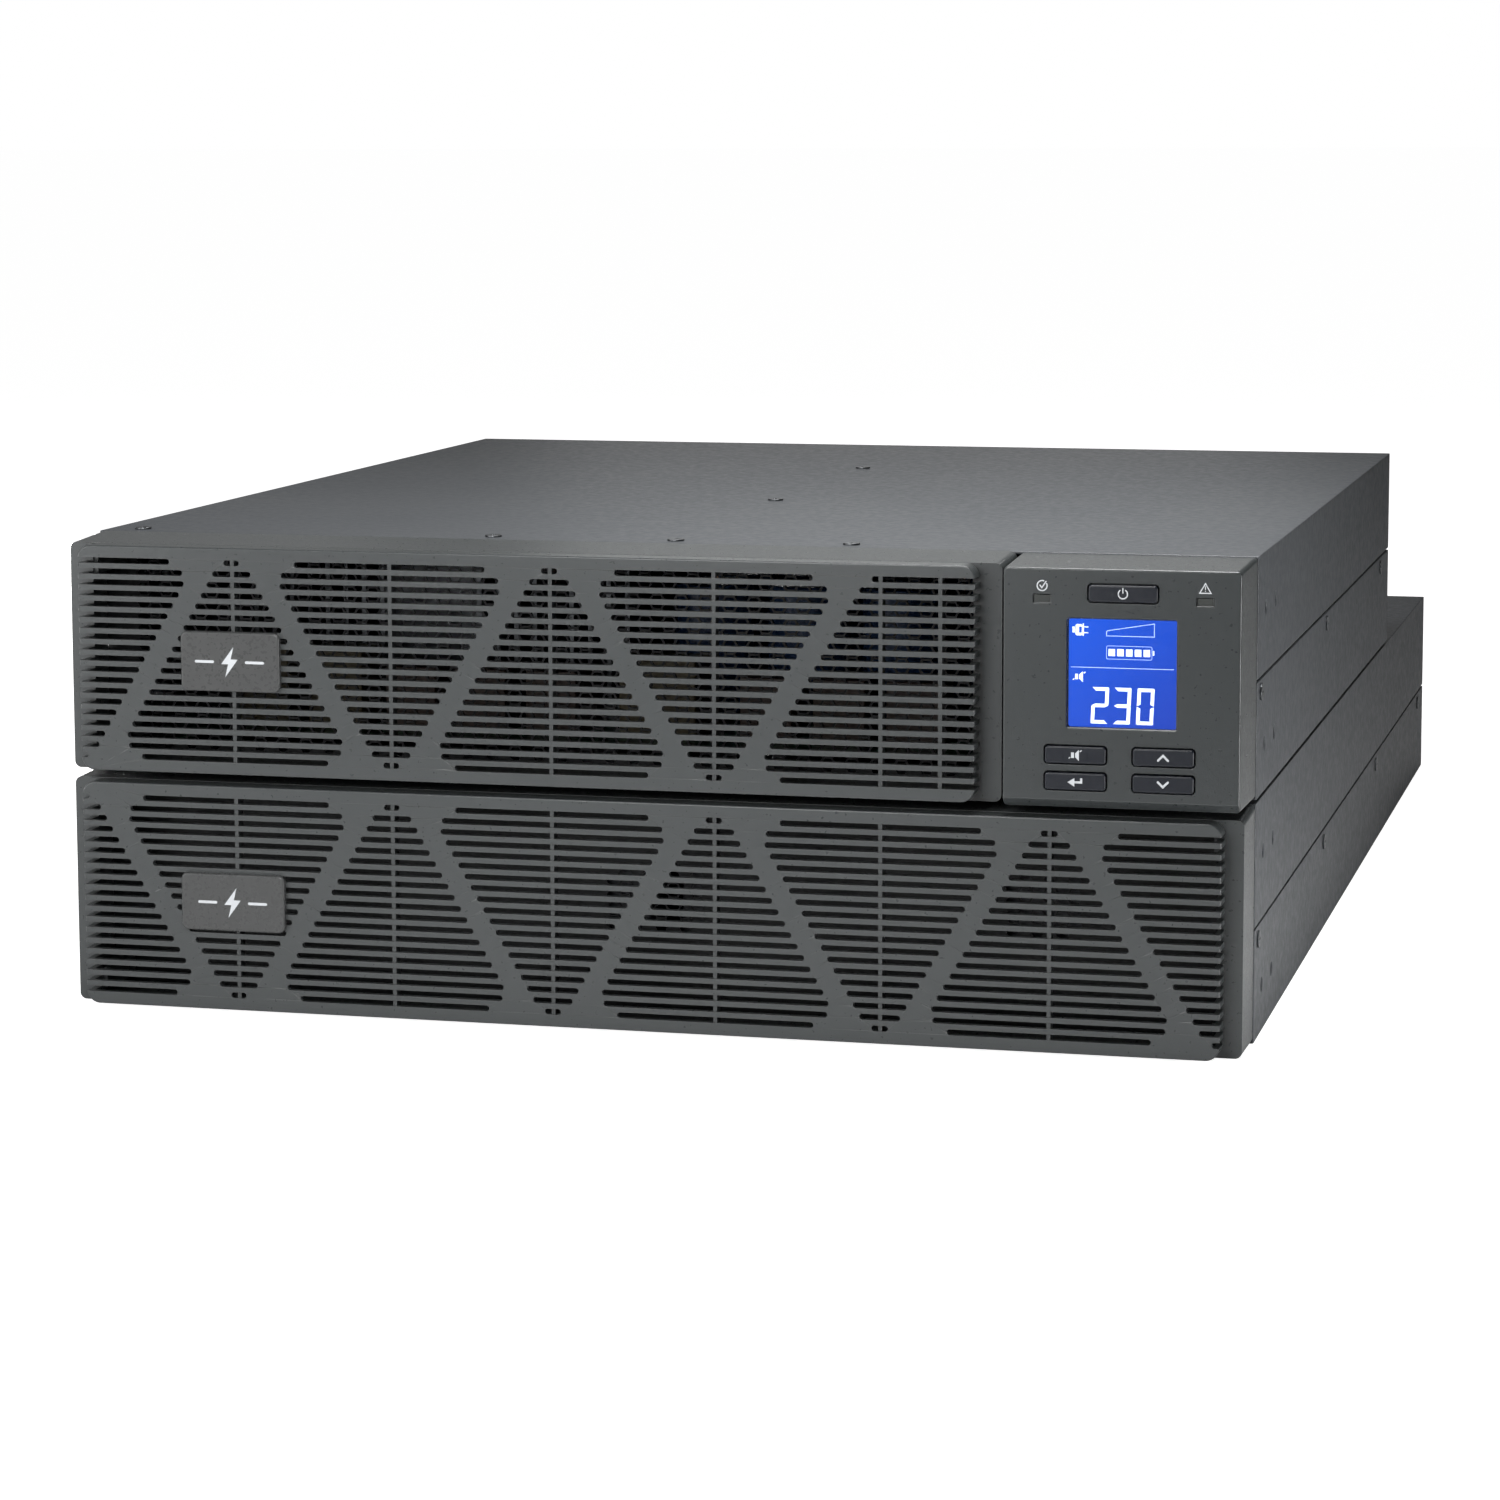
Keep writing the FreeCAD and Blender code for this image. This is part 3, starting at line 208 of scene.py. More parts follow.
def place(tree, name, **values):
    """One shared effect in a material, with its own values."""
    made = tree.nodes.new("ShaderNodeGroup")
    made.node_tree = EFFECTS[name]
    for label, value in values.items():
        socket = made.inputs[label.replace("_", " ")]
        if isinstance(value, bpy.types.NodeSocket):
            tree.links.new(value, socket)
        else:
            socket.default_value = value
    return made.outputs


def new_material(name):
    material = bpy.data.materials.new(name)
    material.use_nodes = True
    tree = material.node_tree
    return material, tree, tree.nodes["Principled BSDF"]


def relief(tree, shader, height, depth, strength=1.0):
    bump = add_node(tree, "Bump", {"Height": height, "Distance": depth * MM, "Strength": strength})
    tree.links.new(bump.outputs[0], shader.inputs["Normal"])


def opaque(colour):
    return (*colour, 1.0)


def coated(name, colour, rough, grain=2200.0, depth=0.03, spread=0.06, drift=0.07,
           wear_highlight=0.0, wear_highlight_colour=(0.3, 0.3, 0.3), wear_highlight_radius=0.5, dust=0.0, coat=0.0,
           specular=0.5, metallic=0.0):
    """Moulded plastic, rubber or powder-coated steel."""
    material, tree, shader = new_material(name)
    skin = place(tree, "moulded_grain", Scale=grain)
    tone = place(tree, "tone_drift", Color=opaque(colour), Amount=drift)["Color"]
    # outer edges lightened: partly wear, partly painted highlight
    if wear_highlight:
        tone = place(tree, "edge_wear_and_highlight", Color=tone, Rubbed_Color=opaque(wear_highlight_colour),
                     Radius=wear_highlight_radius * MM, Amount=wear_highlight)["Color"]
    if dust:
        tone = place(tree, "settled_dust", Color=tone, Amount=dust)["Color"]
    tree.links.new(tone, shader.inputs["Base Color"])
    tree.links.new(remap(tree, skin["Speckle"], 0.0, 1.0, rough - spread, rough + spread),
                   shader.inputs["Roughness"])
    relief(tree, shader, skin["Height"], depth)
    shader.inputs["Coat Weight"].default_value = coat
    shader.inputs["Specular IOR Level"].default_value = specular
    shader.inputs["Metallic"].default_value = metallic
    return material


def brushed(name, colour, rough, stretch=(40.0, 3000.0, 3000.0), depth=0.01, drift=0.1, wear_highlight=0.0):
    """Bare or plated metal."""
    material, tree, shader = new_material(name)
    lines = place(tree, "brush_lines", Stretch=stretch)
    tone = place(tree, "tone_drift", Color=opaque(colour), Amount=drift, Scale=25.0)["Color"]
    # outer edges lightened: partly wear, partly painted highlight
    if wear_highlight:
        lighter = tuple(min(1.0, 1.6 * c) for c in colour)
        tone = place(tree, "edge_wear_and_highlight", Color=tone, Rubbed_Color=opaque(lighter), Amount=wear_highlight)["Color"]
    tree.links.new(tone, shader.inputs["Base Color"])
    tree.links.new(remap(tree, lines["Shade"], 0.0, 1.0, rough - 0.08, rough + 0.1),
                   shader.inputs["Roughness"])
    relief(tree, shader, lines["Height"], depth)
    shader.inputs["Metallic"].default_value = 1.0
    return material


def circuit_board():
    """Green solder resist with copper tracks showing through as lighter lines."""
    material, tree, shader = new_material("circuit_board")
    point = object_point(tree)
    cells = add_node(tree, "TexVoronoi", {"Vector": point, "Scale": 160.0},
                     distance="MANHATTAN", feature="DISTANCE_TO_EDGE")
    track = remap(tree, cells.outputs["Distance"], 0.03, 0.06, 1.0, 0.0)
    green = place(tree, "tone_drift", Color=(0.007, 0.034, 0.018, 1.0), Amount=0.2)["Color"]
    tone = mix_colour(tree, track, green, (0.025, 0.085, 0.040, 1.0))
    tree.links.new(tone, shader.inputs["Base Color"])
    tree.links.new(remap(tree, track, 0.0, 1.0, 0.42, 0.3), shader.inputs["Roughness"])
    relief(tree, shader, track, 0.03)
    return material


def winding():
    """Enamelled copper wire wound side by side."""
    material, tree, shader = new_material("choke_winding")
    turns = add_node(tree, "TexWave", {"Vector": object_point(tree), "Scale": 130.0, "Distortion": 0.4})
    tone = mix_colour(tree, turns.outputs[1], (0.30, 0.10, 0.03, 1.0), (0.75, 0.33, 0.14, 1.0))
    tree.links.new(tone, shader.inputs["Base Color"])
    tree.links.new(remap(tree, turns.outputs[1], 0.0, 1.0, 0.5, 0.3), shader.inputs["Roughness"])
    relief(tree, shader, turns.outputs[1], 0.4)
    shader.inputs["Metallic"].default_value = 0.8
    return material


def clear_window():
    material, tree, shader = new_material("window_clear")
    tint = place(tree, "tone_drift", Color=(0.93, 0.96, 1.0, 1.0), Amount=0.02)["Color"]
    tree.links.new(tint, shader.inputs["Base Color"])
    haze = add_node(tree, "TexNoise", {"Vector": object_point(tree), "Scale": 120.0, "Detail": 3.0})
    tree.links.new(remap(tree, haze.outputs[0], 0.3, 0.7, 0.02, 0.06), shader.inputs["Roughness"])
    shader.inputs["Transmission Weight"].default_value = 1.0
    shader.inputs["IOR"].default_value = 1.45
    shader.inputs["Specular IOR Level"].default_value = 0.1
    return material


def lit_screen():
    """Blue backlight, brighter towards the upper left, under a faint cell grid."""
    material, tree, shader = new_material("screen_blue")
    x0, x1, _, _, z0, z1 = span("lcd_panel")
    place_on = add_node(tree, "SeparateXYZ", {0: object_point(tree)})
    across = remap(tree, place_on.outputs[0], x0 * MM, x1 * MM, 0.0, 1.0)
    up = remap(tree, place_on.outputs[2], z0 * MM, z1 * MM, 0.0, 1.0)
    fall = math_node(tree, "SUBTRACT", up, across)
    level = remap(tree, fall, -1.0, 1.0, 0.0, 1.0)
    blue = mix_colour(tree, level, (0.010, 0.052, 0.52, 1.0), (0.012, 0.125, 0.90, 1.0))
    grid = add_node(tree, "TexBrick", {"Vector": object_point(tree), "Scale": 1800.0,
                                       "Color1": (1, 1, 1, 1), "Color2": (0.96, 0.96, 0.96, 1),
                                       "Mortar": (0.86, 0.86, 0.86, 1), "Mortar Size": 0.02})
    glow = mix_colour(tree, 1.0, blue, grid.outputs[0], "MULTIPLY")
    tree.links.new(glow, shader.inputs["Emission Color"])
    shader.inputs["Emission Strength"].default_value = 1.0
    shader.inputs["Base Color"].default_value = (0.004, 0.012, 0.05, 1.0)
    shader.inputs["Specular IOR Level"].default_value = 0.1
    speck = place(tree, "moulded_grain", Scale=900.0)
    tree.links.new(remap(tree, speck["Speckle"], 0.0, 1.0, 0.3, 0.4), shader.inputs["Roughness"])
    return material


def glowing_print(name, colour):
    """Lit screen segments."""
    material, tree, shader = new_material(name)
    tone = place(tree, "tone_drift", Color=opaque(colour), Amount=0.06, Scale=60.0)["Color"]
    tree.links.new(tone, shader.inputs["Emission Color"])
    tree.links.new(tone, shader.inputs["Base Color"])
    shader.inputs["Emission Strength"].default_value = 0.95
    shader.inputs["Roughness"].default_value = 0.5
    return material


# the edge values lighten the outer edges: partly handling wear, partly painted highlight
MATERIALS = {
    "front_plastic": coated("front_plastic", (0.0415, 0.0458, 0.0468), 0.31, grain=2400,
                            depth=0.035, spread=0.04, wear_highlight=0.35, wear_highlight_colour=(0.13, 0.13, 0.125),
                            wear_highlight_radius=0.45),
    # darker copy of the front plastic: painted shade for the display end of the front
    "display_plastic_shaded": coated("display_plastic_shaded", (0.0300, 0.0340, 0.0350), 0.31, grain=2400,
                              depth=0.03, spread=0.04, wear_highlight=0.35, wear_highlight_colour=(0.12, 0.12, 0.12),
                              wear_highlight_radius=0.45),
    "case_paint": coated("case_paint", (0.0475, 0.0525, 0.0590), 0.46, grain=1500, depth=0.05,
                         wear_highlight=0.3, wear_highlight_colour=(0.14, 0.14, 0.145), dust=0.04),
    "panel_paint": coated("panel_paint", (0.013, 0.0135, 0.0145), 0.42, specular=0.3, grain=1800,
                          wear_highlight=0.4, wear_highlight_colour=(0.09, 0.09, 0.09), wear_highlight_radius=0.3),
    "badge_plastic": coated("badge_plastic", (0.046, 0.0475, 0.0475), 0.30, grain=3000, depth=0.012,
                            wear_highlight=0.3, wear_highlight_colour=(0.16, 0.16, 0.16), wear_highlight_radius=0.4),
    "key_plastic": coated("key_plastic", (0.0070, 0.0086, 0.0135), 0.34, specular=0.38, grain=3000,
                          depth=0.015, wear_highlight=0.3, wear_highlight_colour=(0.09, 0.095, 0.11), wear_highlight_radius=0.4),
    "light_grey": coated("light_grey", (0.046, 0.049, 0.047), 0.2, grain=2600, depth=0.01, coat=0.3),
    "print_grey": coated("print_grey", (0.50, 0.52, 0.54), 0.5, grain=3200, depth=0.006, drift=0.05),
    "capacitor_sleeve": coated("capacitor_sleeve", (0.02, 0.045, 0.11), 0.25, coat=0.3),
    # relays and film capacitors keep their own orange and yellow hue but are painted far darker: painted shade
    # for the dim inside of the case
    "relay_case": coated("relay_case", (0.035, 0.020, 0.014), 0.4, wear_highlight=0.2),
    "film_yellow": coated("film_yellow", (0.060, 0.046, 0.018), 0.4, wear_highlight=0.2),
    "fan_plastic": coated("fan_plastic", (0.018, 0.018, 0.019), 0.4, wear_highlight=0.25,
                          wear_highlight_colour=(0.06, 0.06, 0.06)),
    "breaker_body": coated("breaker_body", (0.022, 0.022, 0.024), 0.42, wear_highlight=0.3,
                           wear_highlight_colour=(0.08, 0.08, 0.08)),
    "breaker_lever": coated("breaker_lever", (0.012, 0.012, 0.013), 0.3, wear_highlight=0.3,
                            wear_highlight_colour=(0.07, 0.07, 0.07)),
    "socket_grey": coated("socket_grey", (0.13, 0.135, 0.14), 0.45, wear_highlight=0.3),
    "terminal_black": coated("terminal_black", (0.02, 0.02, 0.022), 0.4, wear_highlight=0.2),
    "battery_case": coated("battery_case", (0.035, 0.037, 0.042), 0.5, grain=900, wear_highlight=0.3),
    "pad_rubber": coated("pad_rubber", (0.02, 0.02, 0.02), 0.75, grain=1200, depth=0.08, spread=0.1),
    "heatsink_alu": brushed("heatsink_alu", (0.20, 0.21, 0.22), 0.38, (3000.0, 30.0, 3000.0)),
    "guard_wire": brushed("guard_wire", (0.62, 0.63, 0.65), 0.22, (900.0, 900.0, 900.0)),
    "port_metal": brushed("port_metal", (0.60, 0.61, 0.63), 0.28, (3000.0, 60.0, 3000.0), wear_highlight=0.3),
    "zinc_steel": brushed("zinc_steel", (0.50, 0.52, 0.55), 0.36, (3000.0, 60.0, 3000.0)),
    "strap_brass": brushed("strap_brass", (0.78, 0.56, 0.22), 0.3),
    "contact_gold": brushed("contact_gold", (0.85, 0.62, 0.25), 0.22),
    "contact_silver": brushed("contact_silver", (0.78, 0.78, 0.76), 0.26),
    "screw_dark": brushed("screw_dark", (0.115, 0.12, 0.125), 0.36, (900.0, 900.0, 900.0), wear_highlight=0.6),
    "circuit_board": circuit_board(),
    "choke_winding": winding(),
    "window_clear": clear_window(),
    "screen_blue": lit_screen(),
    "screen_figures": glowing_print("screen_figures", (0.86, 0.94, 1.0)),
    "screen_outlines": glowing_print("screen_outlines", (0.46, 0.60, 0.98)),
}

# ---------------------------------------------------------------- carried-over CAD nodes
# edge radius in millimetres that each node's corners get; the louvred fronts and the module's
# battery socket keep plain edges, since bevelling their pierced faces would close the openings
EDGE_RADII = {
    "display_housing": 0.32,
    "ups_cover": 0.45, "ups_tray": 0.45, "pack_cover": 0.45, "pack_tray": 0.45,
    "ups_rear_panel": 0.15, "pack_rear_panel": 0.15, "pack_front_panel": 0.12,
    "terminal_cover": 0.30, "card_slot_cover": 0.25, "card_thumbscrews": 0.15,
    "fan_frame_left": 0.35, "fan_frame_right": 0.35, "fan_rotor_left": 0.25, "fan_rotor_right": 0.25,
    "input_breaker": 0.35, "dc_breaker": 0.35, "input_breaker_toggle": 0.40, "dc_breaker_toggle": 0.40,
    "comms_ports": 0.15,
    "pack_link_ports": 0.15, "terminal_block": 0.30, "stacking_pads": 0.15,
    "ups_top_screws": 0.12, "ups_side_screws": 0.12, "ups_rear_screws": 0.12,
    "pack_side_screws": 0.12, "pack_rear_screws": 0.12,
    "batteries_left": 1.50, "batteries_right": 1.50, "relays": 0.60, "filter_parts": 0.80,
    "heatsinks": 0.15, "battery_straps": 0.30, "capacitors": 1.00,
}
MERGE = 0.000003
FLAT_ANGLE = 0.01
CORNER_ANGLE = 0.6
# nodes whose own moulded fillets have coarse steps, which stay as they are
STEEP_ANGLE = 1.2
STEEP_NODES = ("display_housing", "dc_breaker")
# the display's shell takes a darker copy of the fronts' plastic, whose slot it shares: painted shade for the
# light falling off towards the right-hand end of the front
SHADED_FINISH = {"display_housing": "display_plastic_shaded"}


def join_corners(piece):
    piece.modifiers.new("weld", "WELD").merge_threshold = MERGE


def round_edges(piece, radius, angle=CORNER_ANGLE):
    """Joins the mesh's split corners, clears its flat faces and rounds its edges."""
    join_corners(piece)
    flat = piece.modifiers.new("flat", "DECIMATE")
    flat.decimate_type = "DISSOLVE"
    flat.angle_limit = FLAT_ANGLE
    bevel = piece.modifiers.new("edges", "BEVEL")
    bevel.width = radius * MM
    bevel.segments = 2
    bevel.limit_method = "ANGLE"
    bevel.angle_limit = angle
    bevel.use_clamp_overlap = False
    piece.modifiers.new("normals", "WEIGHTED_NORMAL")


def finish_cad_nodes():
    slots = {s["node"]: s["material_slot"] for s in frame["record"]["subparts"]}
    for name, node in NODES.items():
        finish = SHADED_FINISH.get(name, slots[name])
        for slot in node.material_slots:
            slot.material = MATERIALS[finish]
        if name in EDGE_RADII:
            round_edges(node, EDGE_RADII[name], STEEP_ANGLE if name in STEEP_NODES else CORNER_ANGLE)
        else:
            join_corners(node)


# ---------------------------------------------------------------- flat outlines, (x, z) loops
def rectangle(x0, x1, z0, z1):
    return [(x0, z0), (x1, z0), (x1, z1), (x0, z1)]


def arc(cx, cz, radius, start, end, steps):
    """Points on a circle from start to end degrees, both included."""
    angles = [math.radians(start + (end - start) * i / steps) for i in range(steps + 1)]
    return [(cx + radius * math.cos(a), cz + radius * math.sin(a)) for a in angles]


def circle(cx, cz, radius, steps=24):
    return arc(cx, cz, radius, 0, 360, steps)[:-1]


def rounded(x0, x1, z0, z1, r, steps=5):
    loop = []
    corners = ((x1 - r, z1 - r, 0), (x0 + r, z1 - r, 90), (x0 + r, z0 + r, 180), (x1 - r, z0 + r, 270))
    for cx, cz, start in corners:
        loop += arc(cx, cz, r, start, start + 90, steps)
    return loop


def side_shift(points, distance, closed):
    """The line moved sideways by distance, with mitred corners."""
    count, moved = len(points), []
    for i, p in enumerate(points):
        before = points[i - 1] if closed or i else None
        after = points[(i + 1) % count] if closed or i < count - 1 else None
        normals = []
        for a, b in ((before, p), (p, after)):
            if a is not None and b is not None:
                d = Vector((b[0] - a[0], b[1] - a[1])).normalized()
                normals.append(Vector((-d.y, d.x)))
        n = sum(normals, Vector((0, 0))).normalized()
        reach = distance / max(0.3, n.dot(normals[0]))
        moved.append((p[0] + n.x * reach, p[1] + n.y * reach))
    return moved


def stroke(points, width):
    """Outline of a line drawn with a round pen."""
    left, right = (side_shift(points, s * width / 2, False) for s in (1, -1))
    (ax, az), (bx, bz) = points[-2], points[-1]
    (cx, cz), (dx, dz) = points[1], points[0]
    end_turn = math.degrees(math.atan2(bz - az, bx - ax))
    start_turn = math.degrees(math.atan2(dz - cz, dx - cx))
    tail = arc(bx, bz, width / 2, end_turn + 90, end_turn - 90, 6)[1:-1]
    head = arc(dx, dz, width / 2, start_turn + 90, start_turn - 90, 6)[1:-1]
    return left + tail + right[::-1] + head


def outline(points, width):
    """Closed line: an outer loop and the hole inside it."""
    return [side_shift(points, width / 2, True), side_shift(points, -width / 2, True)]


def hexagon(cx, cz, side):
    return circle(cx, cz, side, 6)


# ---------------------------------------------------------------- meshes
def fill_plate(bm, loops, y, thick):
    """Adds a closed plate to bm: the first loop is its outline and the others are holes."""
    before = set(bm.edges)
    for loop in loops:
        corners = [bm.verts.new((x * MM, SEAM_Y + y * MM, z * MM)) for x, z in loop]
        for a, b in zip(corners, corners[1:] + corners[:1]):
            bm.edges.new((a, b))
    edges = [e for e in bm.edges if e not in before]
    made = bmesh.ops.triangle_fill(bm, use_beauty=True, edges=edges)
    faces = [g for g in made["geom"] if isinstance(g, bmesh.types.BMFace)]
    grown = bmesh.ops.extrude_face_region(bm, geom=faces)
    moved = [g for g in grown["geom"] if isinstance(g, bmesh.types.BMVert)]
    bmesh.ops.translate(bm, vec=(0, thick * MM, 0), verts=moved)


def piece_from(bm, name, body, material, edge=0.0, smooth=False):
    bmesh.ops.recalc_face_normals(bm, faces=bm.faces)
    mesh = bpy.data.meshes.new(name)
    bm.to_mesh(mesh)
    bm.free()
    mesh.materials.append(MATERIALS[material])
    piece = bpy.data.objects.new(name, mesh)
    bpy.context.scene.collection.objects.link(piece)
    if edge or smooth:
        mesh.polygons.foreach_set("use_smooth", [True] * len(mesh.polygons))
    if edge:
        round_edges(piece, edge)
    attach(piece, body)
    return piece


def plates(name, shapes, y, thick, body, material, edge=0.0):
    """One piece from several flat shapes, each a list of loops."""
    bm = bmesh.new()
    for loops in shapes:
        fill_plate(bm, loops, y, thick)
    return piece_from(bm, name, body, material, edge)


def add_block(bm, x0, x1, y0, y1, z0, z1):
    fill_plate(bm, [rectangle(x0, x1, z0, z1)], y0, y1 - y0)


# ---------------------------------------------------------------- honeycomb vent behind the louvres
CELL_SIDE = 3.05
WEB = 0.7
VENT_FIELD = (-206.0, 121.0, 4.0, 83.0)
PEG_HOLES = [(x, z) for x in (-212.0, 126.0) for z in (9.0, 77.8)] + [(143.0, 43.4), (210.0, 43.4)]
PEG_HOLE_R = 2.9
PLUG_HOLE = (159.0, 191.0, 35.0, 49.0)


def honeycomb_cells(x0, x1, z0, z1):
    flat, cell = CELL_SIDE * math.sqrt(3), CELL_SIDE - WEB / math.sqrt(3)
    cells = []
    for column in range(int((x1 - x0 - 2 * CELL_SIDE) / (1.5 * CELL_SIDE)) + 1):
        x = x0 + CELL_SIDE * (1 + 1.5 * column)
        z = z0 + flat / 2 * (1 + column % 2)
        while z + flat / 2 <= z1:
            cells.append(hexagon(x, z, cell))
            z += flat
    return cells


def build_front_vent():
    x0, x1, y0, y1, z0, z1 = span("ups_front_panel")
    left, right, low, high = VENT_FIELD
    holes = honeycomb_cells(left, right, UPS_BASE + low, UPS_BASE + high)
    holes += [circle(x, UPS_BASE + z, PEG_HOLE_R) for x, z in PEG_HOLES]
    a, b, c, d = PLUG_HOLE
    holes.append(rectangle(a, b, UPS_BASE + c, UPS_BASE + d))
    vent = plates("ups_front_honeycomb", [[rectangle(x0, x1, z0, z1)] + holes], y0, y1 - y0,
                  "chassis", "panel_paint")
    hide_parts("ups_front_panel")


# ---------------------------------------------------------------- screen
GLASS_T = 1.3
FIGURE_T = 0.06
SCREEN_R, MASK_R = 1.2, 0.9
MASK_W, MASK_T = 0.42, 0.10
WEDGE_PEN, BATTERY_PEN = 0.24, 0.17
CELL_START, CELL_STEP, CELL_WIDTH, CELL_COUNT = 0.371, 0.079, 0.059, 5
SLANT = 0.043
# segment letters of each figure: a top, b upper right, c lower right, d bottom, e and f left, g middle
FIGURES = {"2": "abged", "3": "abgcd", "0": "abcdef"}
READING = [("2", 0.212), ("3", 0.414), ("0", 0.623)]
FIGURE_W, FIGURE_H, SEGMENT_W = 5.95, 12.8, 1.25
FIGURE_FOOT = 0.956
CUT = 0.10


def screen_point(u, v):
    """Place on the visible screen: u from its left edge and v from its top edge, 0 to 1."""
    x0, x1, _, _, z0, z1 = span("display_window")
    return x0 + u * (x1 - x0), z1 - v * (z1 - z0)


def screen_box(u0, u1, v0, v1):
    (x0, z1), (x1, z0) = screen_point(u0, v0), screen_point(u1, v1)
    return x0, x1, z0, z1


def segment(letter):
    """Outline of one bar of a seven-bar figure, from the figure's lower left corner."""
    w, h, t, g, m = FIGURE_W, FIGURE_H, SEGMENT_W, CUT, FIGURE_H / 2
    top = [(g, h), (w - g, h), (w - t - g, h - t), (t + g, h - t)]
    upper_right = [(w, h - g), (w, m + g), (w - t, m + t / 2 + g), (w - t, h - t - g)]
    middle = [(g, m), (t, m + t / 2), (w - t, m + t / 2),
              (w - g, m), (w - t, m - t / 2), (t, m - t / 2)]
    turned = {
        "a": top,
        "b": upper_right,
        "c": [(x, h - z) for x, z in upper_right],
        "d": [(x, h - z) for x, z in top],
        "e": [(w - x, h - z) for x, z in upper_right],
        "f": [(w - x, z) for x, z in upper_right],
        "g": middle,
    }
    return turned[letter]


def reading_shapes():
    shapes = []
    for figure, u in READING:
        fx, fz = screen_point(u, FIGURE_FOOT)
        for letter in FIGURES[figure]:
            shapes.append([[(fx + x + SLANT * z, fz + z) for x, z in segment(letter)]])
    return shapes


def plug_shapes():
    stub = screen_box(0.042, 0.065, 0.083, 0.137)
    body = screen_box(0.070, 0.135, 0.060, 0.163)
    pane = screen_box(0.103, 0.127, 0.082, 0.137)
    collar = screen_box(0.136, 0.146, 0.053, 0.167)
    prongs = [screen_box(0.147, 0.186, v, v + 0.010) for v in (0.079, 0.131)]
    shapes = [[rectangle(*stub)], [rounded(*body, 0.7), rectangle(*pane)], [rectangle(*collar)]]
    return shapes + [[rectangle(*p)] for p in prongs]


def load_shapes():
    wedge = ((0.352, 0.160), (0.352, 0.122), (0.362, 0.113), (0.783, 0.042), (0.783, 0.160))
    return [outline([screen_point(*corner) for corner in wedge], WEDGE_PEN)]


def battery_shapes():
    x0, x1, z0, z1 = screen_box(0.353, 0.763, 0.250, 0.368)
    return [outline(rounded(x0, x1, z0, z1, 0.55), BATTERY_PEN)]


def charge_cells():
    """Five filled cells and the battery's end cap."""
    starts = [CELL_START + CELL_STEP * i for i in range(CELL_COUNT)]
    cells = [[rectangle(*screen_box(u, u + CELL_WIDTH, 0.277, 0.341))] for u in starts]
    return cells + [[rectangle(*screen_box(0.770, 0.784, 0.286, 0.327))]]


def muted_speaker(cx, cz, size):
    """Speaker crossed by a slash, drawn round a centre; size is its width."""
    k = size / 4.5

    def at(points):
        return [(cx + k * x, cz + k * z) for x, z in points]

    magnet = at([(-1.35, -0.95), (-0.35, -0.95), (-0.35, 0.95), (-1.35, 0.95)])
    cone = at([(0.05, -0.65), (1.35, -1.95), (1.35, 1.95), (0.05, 0.65)])
    tail = stroke(at([(-2.05, -1.05), (-1.72, -0.80)]), 0.35 * k)
    tip = stroke(at([(1.72, 1.30), (2.15, 1.62)]), 0.35 * k)
    return [[magnet], [cone], [tail], [tip]]


def build_screen():
    x0, x1, y0, y1, z0, z1 = span("display_window")
    edge = rounded(x0, x1, z0, z1, SCREEN_R)
    glass = plates("screen_window", [[edge]], y0, GLASS_T,
                   "display_module", "window_clear", edge=0.12)
    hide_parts("display_window")
    opening = rounded(x0 + MASK_W, x1 - MASK_W, z0 + MASK_W, z1 - MASK_W, MASK_R)
    plates("screen_mask", [[edge, opening]], y1 - MASK_T, MASK_T,
           "display_module", "terminal_black")
    face = y1 - FIGURE_T
    figures = reading_shapes() + plug_shapes() + muted_speaker(*screen_point(0.105, 0.535), 4.5)
    plates("screen_readout", figures, face, FIGURE_T, "display_module", "screen_figures")
    lines = load_shapes() + battery_shapes() + [[rectangle(*screen_box(0.031, 0.961, 0.446, 0.4520))]]
    plates("screen_outlines", lines, face, FIGURE_T, "display_module", "screen_outlines")
    plates("screen_charge_cells", charge_cells(), face, FIGURE_T, "display_module",
           "screen_figures")


def add_sloping_frame(bm, x0, x1, z0, z1, y, slope, depth):
    """Closed frame round an opening, its right and lower inner faces sloping back from plane y."""
    rings = []
    for inset, steep, set_back in ((0.0, 0.0, 0.0), (slope, STEEP_SLOPE, depth), (0.0, 0.0, depth)):
        loop = rectangle(x0 + steep, x1 - inset, z0 + inset, z1 - steep)
        rings.append([bm.verts.new((x * MM, SEAM_Y + (y + set_back) * MM, z * MM)) for x, z in loop])
    for a, b in ((0, 1), (1, 2), (2, 0)):
        for i in range(4):
            j = (i + 1) % 4
            bm.faces.new((rings[a][i], rings[a][j], rings[b][j], rings[b][i]))


LIGHT_OPENING = 0.2
LIGHT_SLOPE, SCREEN_SLOPE, STEEP_SLOPE = 0.42, 0.36, 0.06
LIGHT_DEPTH, SCREEN_DEPTH = 0.48, 0.36


def build_surrounds():
    """Sloping edges inside the openings for the two lights and the screen."""
    face = span("display_housing")[2]
    bm = bmesh.new()
    for node in ("online_light", "fault_light"):
        x0, x1, _, _, z0, z1 = span(node)
        g = LIGHT_OPENING
        add_sloping_frame(bm, x0 - g, x1 + g, z0 - g, z1 + g, face, LIGHT_SLOPE, LIGHT_DEPTH)
    x0, x1, _, _, z0, z1 = span("display_window")
    add_sloping_frame(bm, x0, x1, z0, z1, face, SCREEN_SLOPE, SCREEN_DEPTH)
    # the surrounds take the darker copy of the front plastic, painted shade
    piece_from(bm, "display_surrounds", "display_module", "display_plastic_shaded")


# ---------------------------------------------------------------- printed marks
PRINT_T, PRINT_SUNK = 0.05, 0.02
PEN = 0.42


def power_mark(cx, cz):
    ring = stroke(arc(cx, cz, 1.62, 125, 415, 28), PEN)
    return [[ring], [stroke([(cx, cz + 0.35), (cx, cz + 2.0)], PEN)]]


